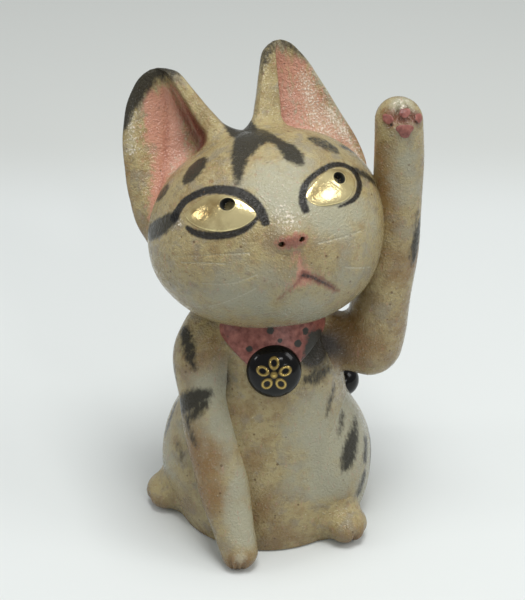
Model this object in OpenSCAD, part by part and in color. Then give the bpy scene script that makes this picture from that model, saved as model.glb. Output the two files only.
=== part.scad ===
// Beckoning cat figurine, hand built in stoneware clay, in millimetres.
// The cat sits facing -Y, its left side is +X, and the origin is the middle of the base it rests on.
// Every piece is a clay form that is luted onto a larger one, so each is cut to the form it seats on.

/* [Body] */
// Width across the base
base_w = 43; // [39:0.5:48]
// Depth of the base, front to back
base_d = 41; // [35:0.5:44]
// Width of the belly at its fullest
belly_w = 43.8; // [40:0.2:48]
// Depth of the belly at its fullest
belly_d = 41.2; // [37:0.2:45]
// Height of the fullest part of the belly
belly_z = 12; // [9:0.5:16]
// Width of the chest
chest_w = 32.6; // [29:0.2:37]
// Depth of the chest
chest_d = 31; // [28:0.5:35]
// Height of the chest's middle, counted from the neck's top
chest_z = -16; // [-19:0.5:-13]
// Width of the neck at its top
neck_w = 18; // [15:0.5:21]
// Height of the neck's top
body_h = 62; // [59:0.5:66]
// Thickness of the hollow body's wall
body_wall = 4.5; // [3.5:0.5:6]

/* [Head] */
// Width of the head
head_w = 53.6; // [49:0.2:58]
// Depth of the head
head_d = 47; // [42:0.5:52]
// Height of the head
head_h = 44; // [40:0.5:48]
// Extra fullness of the right cheek
cheek = 0.6; // [0:0.1:3]
// Extra fullness of the left jowl
jowl = 2.2; // [0:0.1:3]
// Depth to which the neck is set into the head
neck_sink = 5.5; // [4:0.5:8]
// Shift of the head forward from the middle of the base
head_forward = 2; // [0:0.5:4]
// Turn of the face towards the cat's left, in degrees
head_turn = 14; // [0:1:20]
// Upward tilt of the face, in degrees
head_up = 15; // [8:1:20]
// Lean of the head towards the cat's right shoulder, in degrees
head_lean = 10; // [4:1:14]
// Thickness of the hollow head's wall
head_wall = 4.5; // [3.5:0.5:6]
// Width of the vents pierced through the base and the neck
vent_d = 3; // [2:0.2:3.6]
// Distance of the base vent behind the middle of the base
vent_back = 8; // [5:0.5:11]

/* [Ears] */
// Width of the left ear
left_ear_w = 24.2; // [20:0.2:27]
// Width of the right ear
right_ear_w = 28; // [23:0.2:30]
// Height of the ears' tips above the middle of the head
ear_h = 38.6; // [35:0.2:44]
// Gap between the ears at the crown
ear_gap = 6; // [5:0.5:10]
// Flare of the left ear's foot beyond its plain outer edge
left_ear_flare = 7; // [-2:0.2:9]
// Flare of the right ear's foot beyond its plain outer edge
right_ear_flare = 1; // [-2:0.2:9]
// Depth of the cup pressed into each ear
ear_cup = 6; // [4:0.2:7]
// How much deeper the hollow in front is than the bulge behind
ear_dip = 1.6; // [0:0.2:2.2]
// Width of the thick roll along the left ear's inner rim
left_ear_roll = 6; // [4:0.2:8]
// Width of the thick roll along the right ear's inner rim
right_ear_roll = 4; // [3:0.2:7]
// Width of the slope from the roll down into the hollow
ear_fold = 5.4; // [4:0.2:7]
// Width of the flat band along the left ear's outer rim
left_ear_band = 0; // [0:0.2:5]
// Width of the flat band along the right ear's outer rim
right_ear_band = 4.2; // [0:0.2:6]
// Thickness of the ears' rims
ear_wall = 4.6; // [3.6:0.2:5.6]
// Turn of each ear away from the front, in degrees
ear_turn = 27; // [15:1:35]
// Backward lean of the ears, in degrees
ear_lean = 12; // [6:1:18]
// Lean of both ears towards the cat's left, in degrees
ear_side = 2.5; // [0:0.5:5]
// Distance of the ears behind the middle of the head
ear_back = 7.8; // [5:0.2:10]

/* [Face] */
// Length of the left eye along the face
left_eye_l = 17.4; // [14:0.2:20]
// Length of the right eye along the face
right_eye_l = 20.6; // [17:0.2:23]
// Height of the eyes
eye_h = 8; // [6:0.2:10]
// Gap between the eyes over the nose
eye_gap = 12.4; // [10:0.2:15]
// Height of the eyes above the middle of the head
eye_z = 10.6; // [8:0.2:13]
// Rise of the eyes above the face
eye_proud = 0.9; // [0.6:0.1:1.6]
// Width of the holes pierced as pupils
pupil_d = 2.2; // [1.4:0.2:3]
// Shift of both pupils towards the cat's left
gaze_side = 3.2; // [-4:0.2:4]
// Shift of both pupils upwards
gaze_up = 1.2; // [-1:0.1:1.4]
// Width of the nose
nose_w = 7; // [5:0.2:9]
// Height of the nose
nose_h = 5.6; // [4:0.2:7]
// Rise of the nose above the face
nose_proud = 1.4; // [0.8:0.1:2]
// Height of the nose above the middle of the head
nose_z = 3.2; // [2:0.2:5]
// Width of the pierced nostrils
nostril_d = 0.9; // [0.6:0.1:1.2]
// Distance between the nostrils
nostril_gap = 4.2; // [3.2:0.2:5]

/* [Raised arm] */
// Height of the shoulders, counted from the neck's top
shoulder_z = -14; // [-17:0.5:-11]
// Reach of the elbow beyond the side of the chest
arm_reach = 9.4; // [8.5:0.1:12]
// Height of the raised paw's tip above the shoulder
arm_rise = 60.6; // [54:0.2:68]
// Drop of the elbow below the shoulder
elbow_drop = 1.8; // [1:0.2:4]
// Outward bow of the forearm
arm_bow = 3.6; // [2:0.2:5]
// Backward lean of the forearm at the paw
arm_back = 1; // [0:0.2:3]
// Thickness of the arm at the elbow
elbow_d = 15.2; // [12:0.2:17]
// Thickness of the arm at the shoulder
shoulder_d = 12.4; // [11:0.2:14]
// Thickness of the upper arm beside the elbow, where it is thinnest
upper_arm_d = 13; // [10:0.2:15]
// Thickness of the wrist
wrist_d = 10.8; // [9:0.2:12]
// Width of the pad in the palm
palm_d = 3.4; // [2.6:0.2:4.4]
// Width of each toe pad
toe_d = 2.4; // [1.8:0.2:3]
// Rise of the pads above the paw
pad_proud = 0.6; // [0.4:0.1:1]

/* [Front leg] */
// Thickness of the leg at the shoulder
leg_d = 12.6; // [11:0.2:14]
// Thickness of the paw
paw_d = 7.8; // [6.4:0.2:9]
// Distance of the paw's middle in front of the base
paw_step = 5; // [4:0.2:8]
// Distance of the paw from the middle plane of the cat
paw_side = 6.7; // [4:0.1:9]
// Outward bow of the leg
leg_bow = 2.2; // [1:0.2:3]

/* [Haunches and feet] */
// Thickness of each haunch
haunch_w = 17.4; // [15:0.2:20]
// Length of each haunch
haunch_l = 28; // [24:0.5:32]
// Height of each haunch
haunch_h = 29; // [25:0.5:33]
// Bulge of the haunches beyond the side of the base
haunch_out = 4; // [3:0.2:5]
// Shift of the right haunch towards the back
right_haunch_back = 3; // [1:0.5:5]
// Shift of the left haunch towards the back
left_haunch_back = 0; // [-2:0.5:3]
// Width of each hind foot
foot_w = 9.8; // [8:0.2:11]
// Length of each hind foot
foot_l = 10.6; // [9:0.2:12]
// Height of each hind foot
foot_h = 8.6; // [7:0.2:10]
// Distance of each foot's middle beyond the edge of the base
foot_out = 3.2; // [2.4:0.2:4]
// Place of the right foot round the base, in degrees towards the front
right_foot_angle = 3; // [0:1:20]
// Place of the left foot round the base, in degrees towards the front
left_foot_angle = 39; // [25:1:45]

/* [Tail] */
// Thickness of the tail
tail_d = 9; // [7:0.2:10]
// Height of the tail's tip
tail_top = 27.5; // [22:0.5:31]
// Distance of the tail's middle from the body's surface
tail_lift = 3; // [2:0.2:3.4]

/* [Bib and medallion] */
// Width of the bib
bib_w = 29; // [24:0.5:32]
// Height of the bib's point, counted from the neck's top
bib_tip = -17; // [-20:0.5:-15]
// Height of the bib's corners above its point
bib_rise = 11; // [9:0.5:13]
// Thickness of the bib
bib_t = 1; // [0.6:0.1:1.6]
// Distance of the bib's middle towards the cat's left
bib_side = 1.6; // [0:0.2:3]
// Width of the medallion
medallion_d = 12.6; // [10:0.2:14]
// Thickness of the medallion at its middle
medallion_t = 3.4; // [2.6:0.2:4.2]
// Height of the medallion's middle, counted from the neck's top
medallion_z = -13.8; // [-16:0.2:-12]

/* [Hidden] */

// Colours of the fired clay and its glazes
clay = "#b3a487";
toasted = "#a08a62";
iron_black = "#3a393d";
lustre = "#d8b876";
rose = "#bd7d76";

// Sides round a large form, a limb and a small form
fine = 32;
medium = 20;
coarse = 14;
// Depth below the ground that any form may reach before it is cut flat
under = 30;
// Depth to which an applied pellet is buried before its seat is cut
bury = 1.2;
// Depth cut off each sole where it stands flat
sole_cut = 0.4;
// Latitude of a round form's last ring, where a fan closes it
pole = 80;

// Heights above the base of what keeps its place below the neck
chest_at = body_h + chest_z;
shoulder_at = body_h + shoulder_z;
bib_at = body_h + bib_tip;
medallion_at = body_h + medallion_z;

// The head's middle and half sizes
head_middle = [0, -head_forward, body_h + head_h / 2 - neck_sink];
head_half = [head_w / 2, head_d / 2, head_h / 2];
// Place round the head and spread of the fuller cheek and of the fuller jowl, in degrees
cheek_turn = -75;
cheek_rise = -6;
cheek_spread = 38;
jowl_turn = 47;
jowl_rise = -52;
jowl_spread = 30;

// The body's outline: height, half width and half depth of each level
levels = [[0, base_w / 2, base_d / 2], [belly_z, belly_w / 2, belly_d / 2],
    [chest_at, chest_w / 2, chest_d / 2], [body_h, neck_w / 2, neck_w / 2]];

// Smooth curve through a list of rows, at s from 0 to 1
function row(rows, i) = rows[max(0, min(len(rows) - 1, i))];
function blend(a, b, c, d, t) =
    b + (c - a) * t / 2 + (2 * a - 5 * b + 4 * c - d) * t * t / 2 + (3 * b - a - 3 * c + d) * t * t * t / 2;
function along(rows, s) =
    let (x = s * (len(rows) - 1), i = min(floor(x), len(rows) - 2))
    blend(row(rows, i - 1), row(rows, i), row(rows, i + 1), row(rows, i + 2), x - i);

function unit(v) = v / norm(v);
function mean(ring) = [for (p = ring) 1 / len(ring)] * ring;
function ellipse_ring(half_x, half_y, z, n) =
    [for (i = [0:n - 1]) [half_x * cos(360 * i / n), half_y * sin(360 * i / n), z]];

// A closed skin over rings of equal length, with a fan at each end
module skin(rings) {
    n = len(rings[0]);
    last = (len(rings) - 1) * n;
    first_tip = len(rings) * n;
    polyhedron(
        points = concat([for (r = rings) each r], [mean(rings[0]), mean(rings[len(rings) - 1])]),
        faces = concat(
            [for (i = [0:n - 1]) [first_tip, i, (i + 1) % n]],
            [for (k = [0:n:last - n], i = [0:n - 1]) [k + i, k + n + i, k + (i + 1) % n]],
            [for (k = [0:n:last - n], i = [0:n - 1]) [k + (i + 1) % n, k + n + i, k + n + (i + 1) % n]],
            [for (i = [0:n - 1]) [first_tip + 1, last + (i + 1) % n, last + i]]));
}

// An egg about the origin with the given half sizes
module egg(half, n) {
    steps = n / 2;
    skin([for (k = [0:steps]) let (lat = -pole + 2 * pole * k / steps)
        ellipse_ring(half.x * cos(lat), half.y * cos(lat), half.z * sin(lat), n)]);
}

// A round limb along rows of x, y, z and radius, with both ends rounded
function limb_ring(at, dir, r, n) =
    let (a = unit(cross([0, 1, 0], dir)), b = cross(dir, a))
    [for (i = [0:n - 1]) at + r * (a * cos(360 * i / n) + b * sin(360 * i / n))];
function xyz(q) = [q.x, q.y, q.z];
function heading(rows, s, step) =
    unit(xyz(along(rows, min(1, s + step))) - xyz(along(rows, max(0, s - step))));
function cap_ring(rows, s, lat, step, n) =
    let (q = along(rows, s), dir = heading(rows, s, step))
    limb_ring(xyz(q) + dir * q[3] * sin(lat), dir, q[3] * cos(lat), n);
module limb(rows, steps, n) {
    step = 1 / steps / 2;
    skin(concat(
        [for (lat = [-pole:pole / 4:-1]) cap_ring(rows, 0, lat, step, n)],
        [for (k = [0:steps]) let (s = k / steps, q = along(rows, s))
            limb_ring(xyz(q), heading(rows, s, step), q[3], n)],
        [for (lat = [pole / 4:pole / 4:pole]) cap_ring(rows, 1, lat, step, n)]));
}

// Everything below the plane that the cat stands on
module ground() {
    translate([0, 0, -under / 2])
        cube([4 * base_w, 4 * base_d, under], center = true);
}

// Share of the body's outline passed at height z, found by halving
halvings = 20;
function seek(z, low, high, tries) =
    let (middle = (low + high) / 2)
    tries == 0 ? middle :
    along(levels, middle)[0] < z ? seek(z, middle, high, tries - 1) : seek(z, low, middle, tries - 1);
function level_at(z) = z <= 0 ? 0 : z >= body_h ? 1 : seek(z, 0, 1, halvings);
// A point at height z on the body, lift outside it; angle 0 is the cat's left, 90 its back
function body_point(angle, z, lift) =
    let (q = along(levels, level_at(z)))
    [(q[1] + lift) * cos(angle), (q[2] + lift) * sin(angle), z];

// The body's outline between two heights, grown by a layer of clay or shrunk by a wall
module body_form(grow, from, to) {
    steps = 20;
    low = level_at(from);
    high = level_at(to);
    skin([for (k = [0:steps]) let (q = along(levels, low + (high - low) * k / steps))
        ellipse_ring(q[1] + grow, q[2] + grow, q[0], fine)]);
}

module in_head() {
    translate(head_middle)
        rotate([0, 0, head_turn])
            rotate([-head_up, 0, 0])
                rotate([0, -head_lean, 0])
                    children();
}

// A direction from the head's middle, lon round from the nose and lat up from the middle
function head_dir(lon, lat) = [sin(lon) * cos(lat), -cos(lon) * cos(lat), sin(lat)];
// A bell curve about one place on the head
function fullness(dir, turn, rise, spread) =
    exp(-pow(acos(min(1, dir * head_dir(turn, rise))) / spread, 2));
// A point on the head, shift outside it
function head_point(lon, lat, shift) =
    let (dir = head_dir(lon, lat),
        full = cheek * fullness(dir, cheek_turn, cheek_rise, cheek_spread)
            + jowl * fullness(dir, jowl_turn, jowl_rise, jowl_spread))
    [for (i = [0:2]) dir[i] * (head_half[i] + shift + full)];
// The same with a measured along the face from the nose's line and b above the middle
function face_point(a, b, shift) = head_point(a / head_half.x * 180 / PI, b / head_half.z * 180 / PI, shift);

module head_form(grow) {
    steps = 20;
    in_head()
        skin([for (k = [0:steps]) let (lat = -pole + 2 * pole * k / steps)
            [for (i = [0:fine - 1]) head_point(360 * i / fine - 180, lat, grow)]]);
}

module neck_vent() {
    translate([head_middle.x, head_middle.y, chest_at - body_wall])
        cylinder(d = vent_d, h = head_middle.z - chest_at + body_wall, $fn = fine);
}

module body() {
    cavity_top = head_middle.z - head_half.z - body_wall;
    color(clay)
        difference() {
            body_form(0, 0, body_h);
            body_form(-body_wall, body_wall, cavity_top);
            translate([0, vent_back, -1])
                cylinder(d = vent_d, h = body_wall + belly_z, $fn = fine);
            neck_vent();
            head_form(0);
        }
}

module head() {
    color(clay)
        difference() {
            head_form(0);
            head_form(-head_wall);
            neck_vent();
        }
}

// A cupped petal of clay; rows are share of the height, shares of the half width outwards and inwards, cup
// and thickness
ear_rows = [[-0.3, 0.1, 0.1, 0.1, 1.2], [0.05, 0.75, 0.95, 0.3, 1.5], [0.3, 0.86, 1.05, 0.75, 1.3],
    [0.5, 0.84, 1.07, 1, 1], [0.62, 0.8, 0.88, 0.95, 0.92], [0.72, 0.72, 0.72, 0.85, 0.82],
    [0.84, 0.58, 0.55, 0.6, 0.72], [0.94, 0.35, 0.4, 0.27, 0.62], [1, 0.06, 0.08, 0.03, 0.26]];
// Height at which an ear's foot flares most, and over which the flare fades
flare_z = 5.4;
flare_fade = 15.4;
// Levels and sides of an ear's skin, and its directions across and to the front
ear_steps = 20;
ear_sides = 36;
ear_across = [cos(ear_turn), sin(ear_turn), 0];
ear_front = [sin(ear_turn), -cos(ear_turn), 0];

// Depth of the hollow across an ear, from 0 on the roll and the outer band to 1 at the end of the fold
function hollow_at(x, roll, fold, band) =
    let (drop = min(1, max(0, (x - roll) / fold)),
        climb = min(1, max(0, (x - roll - fold) / (band - roll - fold))))
    drop * drop * (3 - 2 * drop) * pow(1 - climb, 0.8);

// Points of one level of an ear, whose front is hollowed between the roll and the band and whose back bulges
function ear_level(q, width, flare, roll_w, band_w) =
    let (half = width / 2, roll = roll_w / half - 1, band = 1 - band_w / half, rise = ear_h * q[0],
        thick = ear_wall * q[4] / 2,
        outer = half * q[1] + flare * exp(-pow((rise - flare_z) / flare_fade, 2)))
    [for (i = [0:ear_sides - 1])
        let (t = 360 * i / ear_sides, x = cos(t), wide = x > 0 ? outer : half * q[2],
            hollow = (ear_cup + ear_dip) * hollow_at(x, roll, ear_fold / half, band),
            deep = sin(t) > 0 ? hollow : ear_cup * pow(sin(t), 2),
            bend = thick * sign(sin(t)) * sqrt(abs(sin(t))) - q[3] * deep)
        [ear_gap / 2 + half * cos(ear_turn), 0, rise] + ear_across * wide * x + ear_front * bend];

module ear_form(width, flare, roll_w, band_w, side) {
    translate([0, ear_back, 0])
        rotate([0, ear_side, 0])
            rotate([-ear_lean, 0, 0])
                mirror([side < 0 ? 1 : 0, 0, 0])
                    skin([for (k = [0:ear_steps])
                        ear_level(along(ear_rows, k / ear_steps), width, flare, roll_w, band_w)]);
}

module ear(width, flare, roll_w, band_w, side) {
    color(clay)
        difference() {
            in_head() ear_form(width, flare, roll_w, band_w, side);
            head_form(0);
        }
}

module left_ear() {
    ear(left_ear_w, left_ear_flare, left_ear_roll, left_ear_band, 1);
}

module right_ear() {
    ear(right_ear_w, right_ear_flare, right_ear_roll, right_ear_band, -1);
}

// An almond pellet on the face, with the pupil pierced through it
module eye(length, side) {
    sides = 24;
    steps = 6;
    middle = side * (eye_gap + length) / 2;
    pupil_lon = (middle + gaze_side) / head_half.x * 180 / PI;
    pupil_lat = (eye_z + gaze_up) / head_half.z * 180 / PI;
    color(lustre)
        difference() {
            in_head()
                skin([for (k = [0:steps]) let (share = k == 0 ? 1 : cos(pole * (k - 1) / (steps - 1)),
                        shift = k == 0 ? -bury : eye_proud * sin(pole * (k - 1) / (steps - 1)))
                    [for (i = [0:sides - 1]) let (t = 360 * i / sides)
                        face_point(middle + share * length / 2 * cos(t),
                            eye_z + share * eye_h / 2 * sin(t) * sqrt(abs(sin(t))), shift)]]);
            head_form(0);
            in_head()
                translate(head_point(pupil_lon, pupil_lat, 0))
                    rotate([90 - pupil_lat, 0, pupil_lon])
                        cylinder(d = pupil_d, h = 4 * bury, center = true, $fn = fine);
        }
}

module left_eye() {
    eye(left_eye_l, 1);
}

module right_eye() {
    eye(right_eye_l, -1);
}

module nose() {
    at = face_point(0, nose_z, 0);
    color(rose)
        difference() {
            in_head()
                translate(at)
                    egg([nose_w / 2, nose_proud, nose_h / 2], medium);
            head_form(0);
            in_head()
                for (side = [-1, 1])
                    translate([at.x + side * nostril_gap / 2, at.y, at.z - nose_h / 4])
                        rotate([90, 0, 0])
                            cylinder(d = nostril_d, h = 4 * nose_proud, center = true, $fn = coarse);
        }
}

// The upper arm drops from a root in the shoulder to the elbow, and the forearm bows up to the paw
upper_l = 18.3;
root_rise = 3;
arm_root_back = 1;
thin_in = 5.3;
thin_rise = 0.4;
elbow_in = 1.4;
bow_sweep = 120;
elbow_r = elbow_d / 2;
wrist_r = wrist_d / 2;
forearm_x = chest_w / 2 + arm_reach;
elbow = [forearm_x - elbow_in, 0, shoulder_at - elbow_drop];
arm_root = [elbow.x - upper_l, arm_root_back, shoulder_at + root_rise];
arm_thin = [elbow.x - thin_in, arm_root_back * thin_in / upper_l, elbow.z + thin_rise];
paw_middle = shoulder_at + arm_rise - wrist_r;
function forearm_row(share) =
    [forearm_x + arm_bow * sin(bow_sweep * share) - elbow_in * pow(1 - share, 4), arm_back * share,
        elbow.z + (paw_middle - elbow.z) * share, wrist_r + (elbow_r - wrist_r) * pow(1 - share, 2)];
upper_path = [concat(arm_root, [shoulder_d / 2]), concat(arm_thin, [upper_arm_d / 2]),
    concat(elbow, [elbow_r])];
forearm_path = [for (share = [0, 0.12, 0.35, 0.6, 0.8, 1]) forearm_row(share)];
module arm_form() {
    upper_rings = 12;
    forearm_rings = 24;
    limb(upper_path, upper_rings, medium);
    limb(forearm_path, forearm_rings, medium);
}

module raised_arm() {
    color(toasted)
        difference() {
            arm_form();
            body_form(0, 0, body_h);
            head_form(0);
        }
}

// A pad on the rounded tip of the raised paw, turned round it and risen up it, in degrees
module pad(turn, rise, d) {
    color(rose)
        difference() {
            translate(xyz(forearm_path[len(forearm_path) - 1]))
                rotate([0, 0, turn])
                    rotate([-rise, 0, 0])
                        translate([0, -wrist_r, 0])
                            egg([d / 2, pad_proud, d / 2], coarse);
            arm_form();
        }
}

palm_turn = 18;
module palm_pad() {
    pad(palm_turn, 0, palm_d);
}

toe_turn = 43;
toe_rise = 34;
toe_dip = 6;
module toe_pads() {
    for (side = [-1, 0, 1])
        pad(palm_turn + toe_turn * side, toe_rise - toe_dip * abs(side), toe_d);
}

// The front leg runs down from the right shoulder to a paw in front of the base
leg_set = 1;
leg_forward = 6.2;
leg_rise = 1;
leg_top = [leg_set - chest_w / 2, -leg_forward, shoulder_at + leg_rise];
leg_end = [-paw_side, -base_d / 2 - paw_step, paw_d / 2 - sole_cut];
function leg_row(share) =
    let (at = leg_top + (leg_end - leg_top) * share)
    [at.x - leg_bow * sin(180 * share), at.y, at.z, (leg_d + (paw_d - leg_d) * share) / 2];
// The root of the leg is buried in the shoulder, inward of the leg's top, behind it and above it
root_in = 3.15;
root_back = 8.3;
root_up = 5.04;
root_d = 9;
leg_path = concat(
    [concat(leg_top + [root_in, root_back, root_up], [root_d / 2])],
    [for (share = [0, 0.22, 0.45, 0.7, 0.9]) leg_row(share)],
    [concat(leg_end, [paw_d / 2])]);
module leg_form() {
    rings = 22;
    difference() {
        limb(leg_path, rings, medium);
        ground();
    }
}

module front_leg() {
    color(clay)
        difference() {
            leg_form();
            body_form(0, 0, body_h);
            head_form(0);
        }
}

module haunch_form(side, back) {
    difference() {
        translate([side * (base_w / 2 - haunch_w / 2 + haunch_out), back, haunch_h / 2])
            egg([haunch_w / 2, haunch_l / 2, haunch_h / 2], medium + 4);
        ground();
    }
}

module left_haunch() {
    color(clay)
        difference() {
            haunch_form(1, left_haunch_back);
            body_form(0, 0, body_h);
        }
}

module right_haunch() {
    color(clay)
        difference() {
            haunch_form(-1, right_haunch_back);
            body_form(0, 0, body_h);
            leg_form();
        }
}

// A knob of a foot beside the base, cut flat where it stands
module foot_form(side, angle) {
    edge = [side * base_w / 2 * cos(angle), -base_d / 2 * sin(angle), 0];
    difference() {
        translate(edge + unit(edge) * foot_out + [0, 0, foot_h / 2 - sole_cut])
            egg([foot_w / 2, foot_l / 2, foot_h / 2], medium);
        ground();
    }
}

module left_hind_foot() {
    color(toasted)
        difference() {
            foot_form(1, left_foot_angle);
            body_form(0, 0, body_h);
            haunch_form(1, left_haunch_back);
        }
}

module right_hind_foot() {
    color(toasted)
        difference() {
            foot_form(-1, right_foot_angle);
            body_form(0, 0, body_h);
            haunch_form(-1, right_haunch_back);
        }
}

// The tail climbs from the middle of the back round to the cat's left side
tail_r = tail_d / 2;
tail_end_angle = 36;
tail_taper = 0.08;
tail_path = [for (share = [0:0.25:1])
    concat(body_point(90 + (tail_end_angle - 90) * share, tail_r + (tail_top - tail_r) * share,
            tail_lift * min(1, 3 * share - 0.5)),
        [tail_r * (1 - tail_taper * share)])];
module tail() {
    rings = 16;
    color(iron_black)
        difference() {
            limb(tail_path, rings, coarse);
            body_form(0, 0, body_h);
            haunch_form(1, left_haunch_back);
            ground();
        }
}

// The bib is a triangle of clay over the chest, up to the chin and between the shoulders
module bib() {
    top = head_middle.z;
    color(rose)
        difference() {
            intersection() {
                body_form(bib_t, 0, body_h);
                translate([bib_side, 0, 0])
                    rotate([90, 0, 0])
                        linear_extrude(height = chest_d)
                            polygon([[0, bib_at], [bib_w / 2, bib_at + bib_rise], [bib_w / 2, top],
                                [-bib_w / 2, top], [-bib_w / 2, bib_at + bib_rise]]);
            }
            body_form(0, 0, body_h);
            head_form(0);
            leg_form();
            arm_form();
        }
}

// The medallion is a domed disc pressed onto the chest over the point of the bib
module medallion() {
    surface_y = body_point(-90, medallion_at, 0).y;
    slope = atan(body_point(-90, medallion_at + 1, 0).y - surface_y);
    color(iron_black)
        difference() {
            translate([bib_side, surface_y, medallion_at])
                rotate([90 - slope, 0, 0])
                    rotate_extrude($fn = fine)
                        intersection() {
                            scale([medallion_d, 2 * medallion_t])
                                circle(d = 1, $fn = 2 * fine);
                            translate([0, -bury])
                                square([medallion_d, 2 * medallion_t]);
                        }
            body_form(bib_t, 0, body_h);
        }
}

body();
head();
left_ear();
right_ear();
left_eye();
right_eye();
nose();
raised_arm();
palm_pad();
toe_pads();
front_leg();
left_haunch();
right_haunch();
left_hind_foot();
right_hind_foot();
tail();
bib();
medallion();
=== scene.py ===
"""Looks of a hand-built stoneware beckoning cat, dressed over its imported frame.

The cat sits on the floor at z = 0 and faces -Y, with its left side towards +X. Forms are worked out
in millimetres, as a potter would measure them, and go into the meshes in metres.
"""

import bpy
import numpy as np
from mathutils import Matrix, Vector


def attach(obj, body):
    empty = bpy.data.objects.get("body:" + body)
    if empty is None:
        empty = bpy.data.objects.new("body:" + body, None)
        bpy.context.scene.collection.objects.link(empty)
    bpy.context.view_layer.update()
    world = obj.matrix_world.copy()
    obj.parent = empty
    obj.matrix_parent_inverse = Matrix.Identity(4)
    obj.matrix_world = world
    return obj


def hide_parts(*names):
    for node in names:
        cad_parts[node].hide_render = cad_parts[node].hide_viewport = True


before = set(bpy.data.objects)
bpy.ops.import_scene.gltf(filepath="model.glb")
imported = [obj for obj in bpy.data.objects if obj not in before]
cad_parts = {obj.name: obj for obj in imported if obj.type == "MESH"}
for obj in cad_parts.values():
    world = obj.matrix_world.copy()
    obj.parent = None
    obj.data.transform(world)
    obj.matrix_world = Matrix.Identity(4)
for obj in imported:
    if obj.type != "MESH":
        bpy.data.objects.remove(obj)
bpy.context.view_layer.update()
MM = 0.001


# Camera
# A hand-held phone looks down on the cat from straight in front, about 40 cm away. The lens is long
# enough that the figure fills the frame with little foreshortening.
VIEW_TARGET = np.array([-1.0, 0.0, 58.0])
VIEW_DOWN = np.radians(31.0)
VIEW_AWAY = 390.0
LENS = 100.8
SENSOR = 36.0

camera = bpy.data.objects.new("camera", bpy.data.cameras.new("camera"))
bpy.context.scene.collection.objects.link(camera)
camera.data.lens = LENS
camera.data.sensor_width = SENSOR
camera.data.clip_start = 0.01
toward_camera = np.array([0.0, -np.cos(VIEW_DOWN), np.sin(VIEW_DOWN)])
camera.location = Vector((VIEW_TARGET + VIEW_AWAY * toward_camera) * MM)
camera.rotation_euler = Vector(-toward_camera).to_track_quat("-Z", "Y").to_euler()
bpy.context.scene.camera = camera
bpy.context.scene.view_settings.view_transform = "Standard"


# Floor and lamps
# White card lies on the table, with painted shade greying it a hand's width behind the cat. A broad soft
# lamp hangs overhead, four smaller ones stand at the window, in front, beside the cat and low, and the room
# fills in.
def to_linear(code):
    """Linear red, green, blue and alpha of a hex colour written in sRGB."""
    srgb = np.array([int(code[i:i + 2], 16) for i in (1, 3, 5)]) / 255
    linear = np.where(srgb <= 0.04045, srgb / 12.92, ((srgb + 0.055) / 1.055) ** 2.4)
    return (*linear, 1.0)


def add_node(tree, kind, out, inputs=(), **settings):
    """Adds a shader node with its settings and links, and gives its output socket out. Each input is a
    socket's name or number, and a value or the socket that feeds it. By number, a Mix takes its share at 0
    and its colours at 6 and 7, and gives a colour at 2; a Map Range takes a value at 0, its limits at 1
    and 2, and what they become at 3 and 4."""
    made = tree.nodes.new(kind)
    for name, value in settings.items():
        setattr(made, name, value)
    for key, value in dict(inputs).items():
        if isinstance(value, bpy.types.NodeSocket):
            tree.links.new(value, made.inputs[key])
        else:
            made.inputs[key].default_value = value
    return made.outputs[out]


def new_material(name):
    """An empty node material, its tree, and its surface shader already joined to the output."""
    material = bpy.data.materials.new(name)
    material.use_nodes = True
    tree = material.node_tree
    return material, tree, tree.nodes["Principled BSDF"]


CARD_HALF = 2000.0
SHADE_BEGINS = 145.0
SHADE_FULL = 210.0
CARD_NEAR = "#e4e8e6"
CARD_FAR = "#d9dcd8"
CARD_BOUNCE = "#b4b6b4"


def looked_at(tree):
    """1 where a surface is seen, by the camera or mirrored in a glaze, and 0 where it only throws light."""
    by_camera = add_node(tree, "ShaderNodeLightPath", "Is Camera Ray")
    by_mirror = add_node(tree, "ShaderNodeLightPath", "Is Glossy Ray")
    return add_node(tree, "ShaderNodeMath", 0, {0: by_camera, 1: by_mirror}, operation="MAXIMUM")


corners = CARD_HALF * MM * np.array([[-1, -1, 0], [1, -1, 0], [1, 1, 0], [-1, 1, 0]])
card_mesh = bpy.data.meshes.new("card")
card_mesh.from_pydata(corners.tolist(), [], [[0, 1, 2, 3]])
card = bpy.data.objects.new("card", card_mesh)
bpy.context.scene.collection.objects.link(card)
# Matt white card: bright under the lamp, and greyed by painted shade towards the back of the table. What it
# throws back onto the cat is kept dim, as on a table in a larger, darker room.
card_material, tree, card_shader = new_material("matt_white_card")
place = add_node(tree, "ShaderNodeTexCoord", "Object")
back = add_node(tree, "ShaderNodeSeparateXYZ", "Y", {0: place})
shade = add_node(tree, "ShaderNodeMapRange", 0, {0: back, 1: SHADE_BEGINS * MM, 2: SHADE_FULL * MM},
                 interpolation_type="SMOOTHSTEP")
shown = add_node(tree, "ShaderNodeMix", 2, {0: shade, 6: to_linear(CARD_NEAR), 7: to_linear(CARD_FAR)},
                 data_type="RGBA")
card_colour = add_node(tree, "ShaderNodeMix", 2, {0: looked_at(tree), 6: to_linear(CARD_BOUNCE), 7: shown},
                       data_type="RGBA")
tree.links.new(card_colour, card_shader.inputs["Base Color"])
card_shader.inputs["Roughness"].default_value = 0.9
card_shader.inputs["Specular IOR Level"].default_value = 0.1
card_mesh.materials.append(card_material)

ROOM_LIGHT = 0.42
ROOM_SEEN = 0.35
ROOM_COLOUR = "#f4f6f8"

world = bpy.data.worlds.new("room")
world.use_nodes = True
tree = world.node_tree
tree.nodes["Background"].inputs["Color"].default_value = to_linear(ROOM_COLOUR)
strength = add_node(tree, "ShaderNodeMapRange", 0, {0: looked_at(tree), 3: ROOM_LIGHT, 4: ROOM_SEEN})
tree.links.new(strength, tree.nodes["Background"].inputs["Strength"])
bpy.context.scene.world = world


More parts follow.
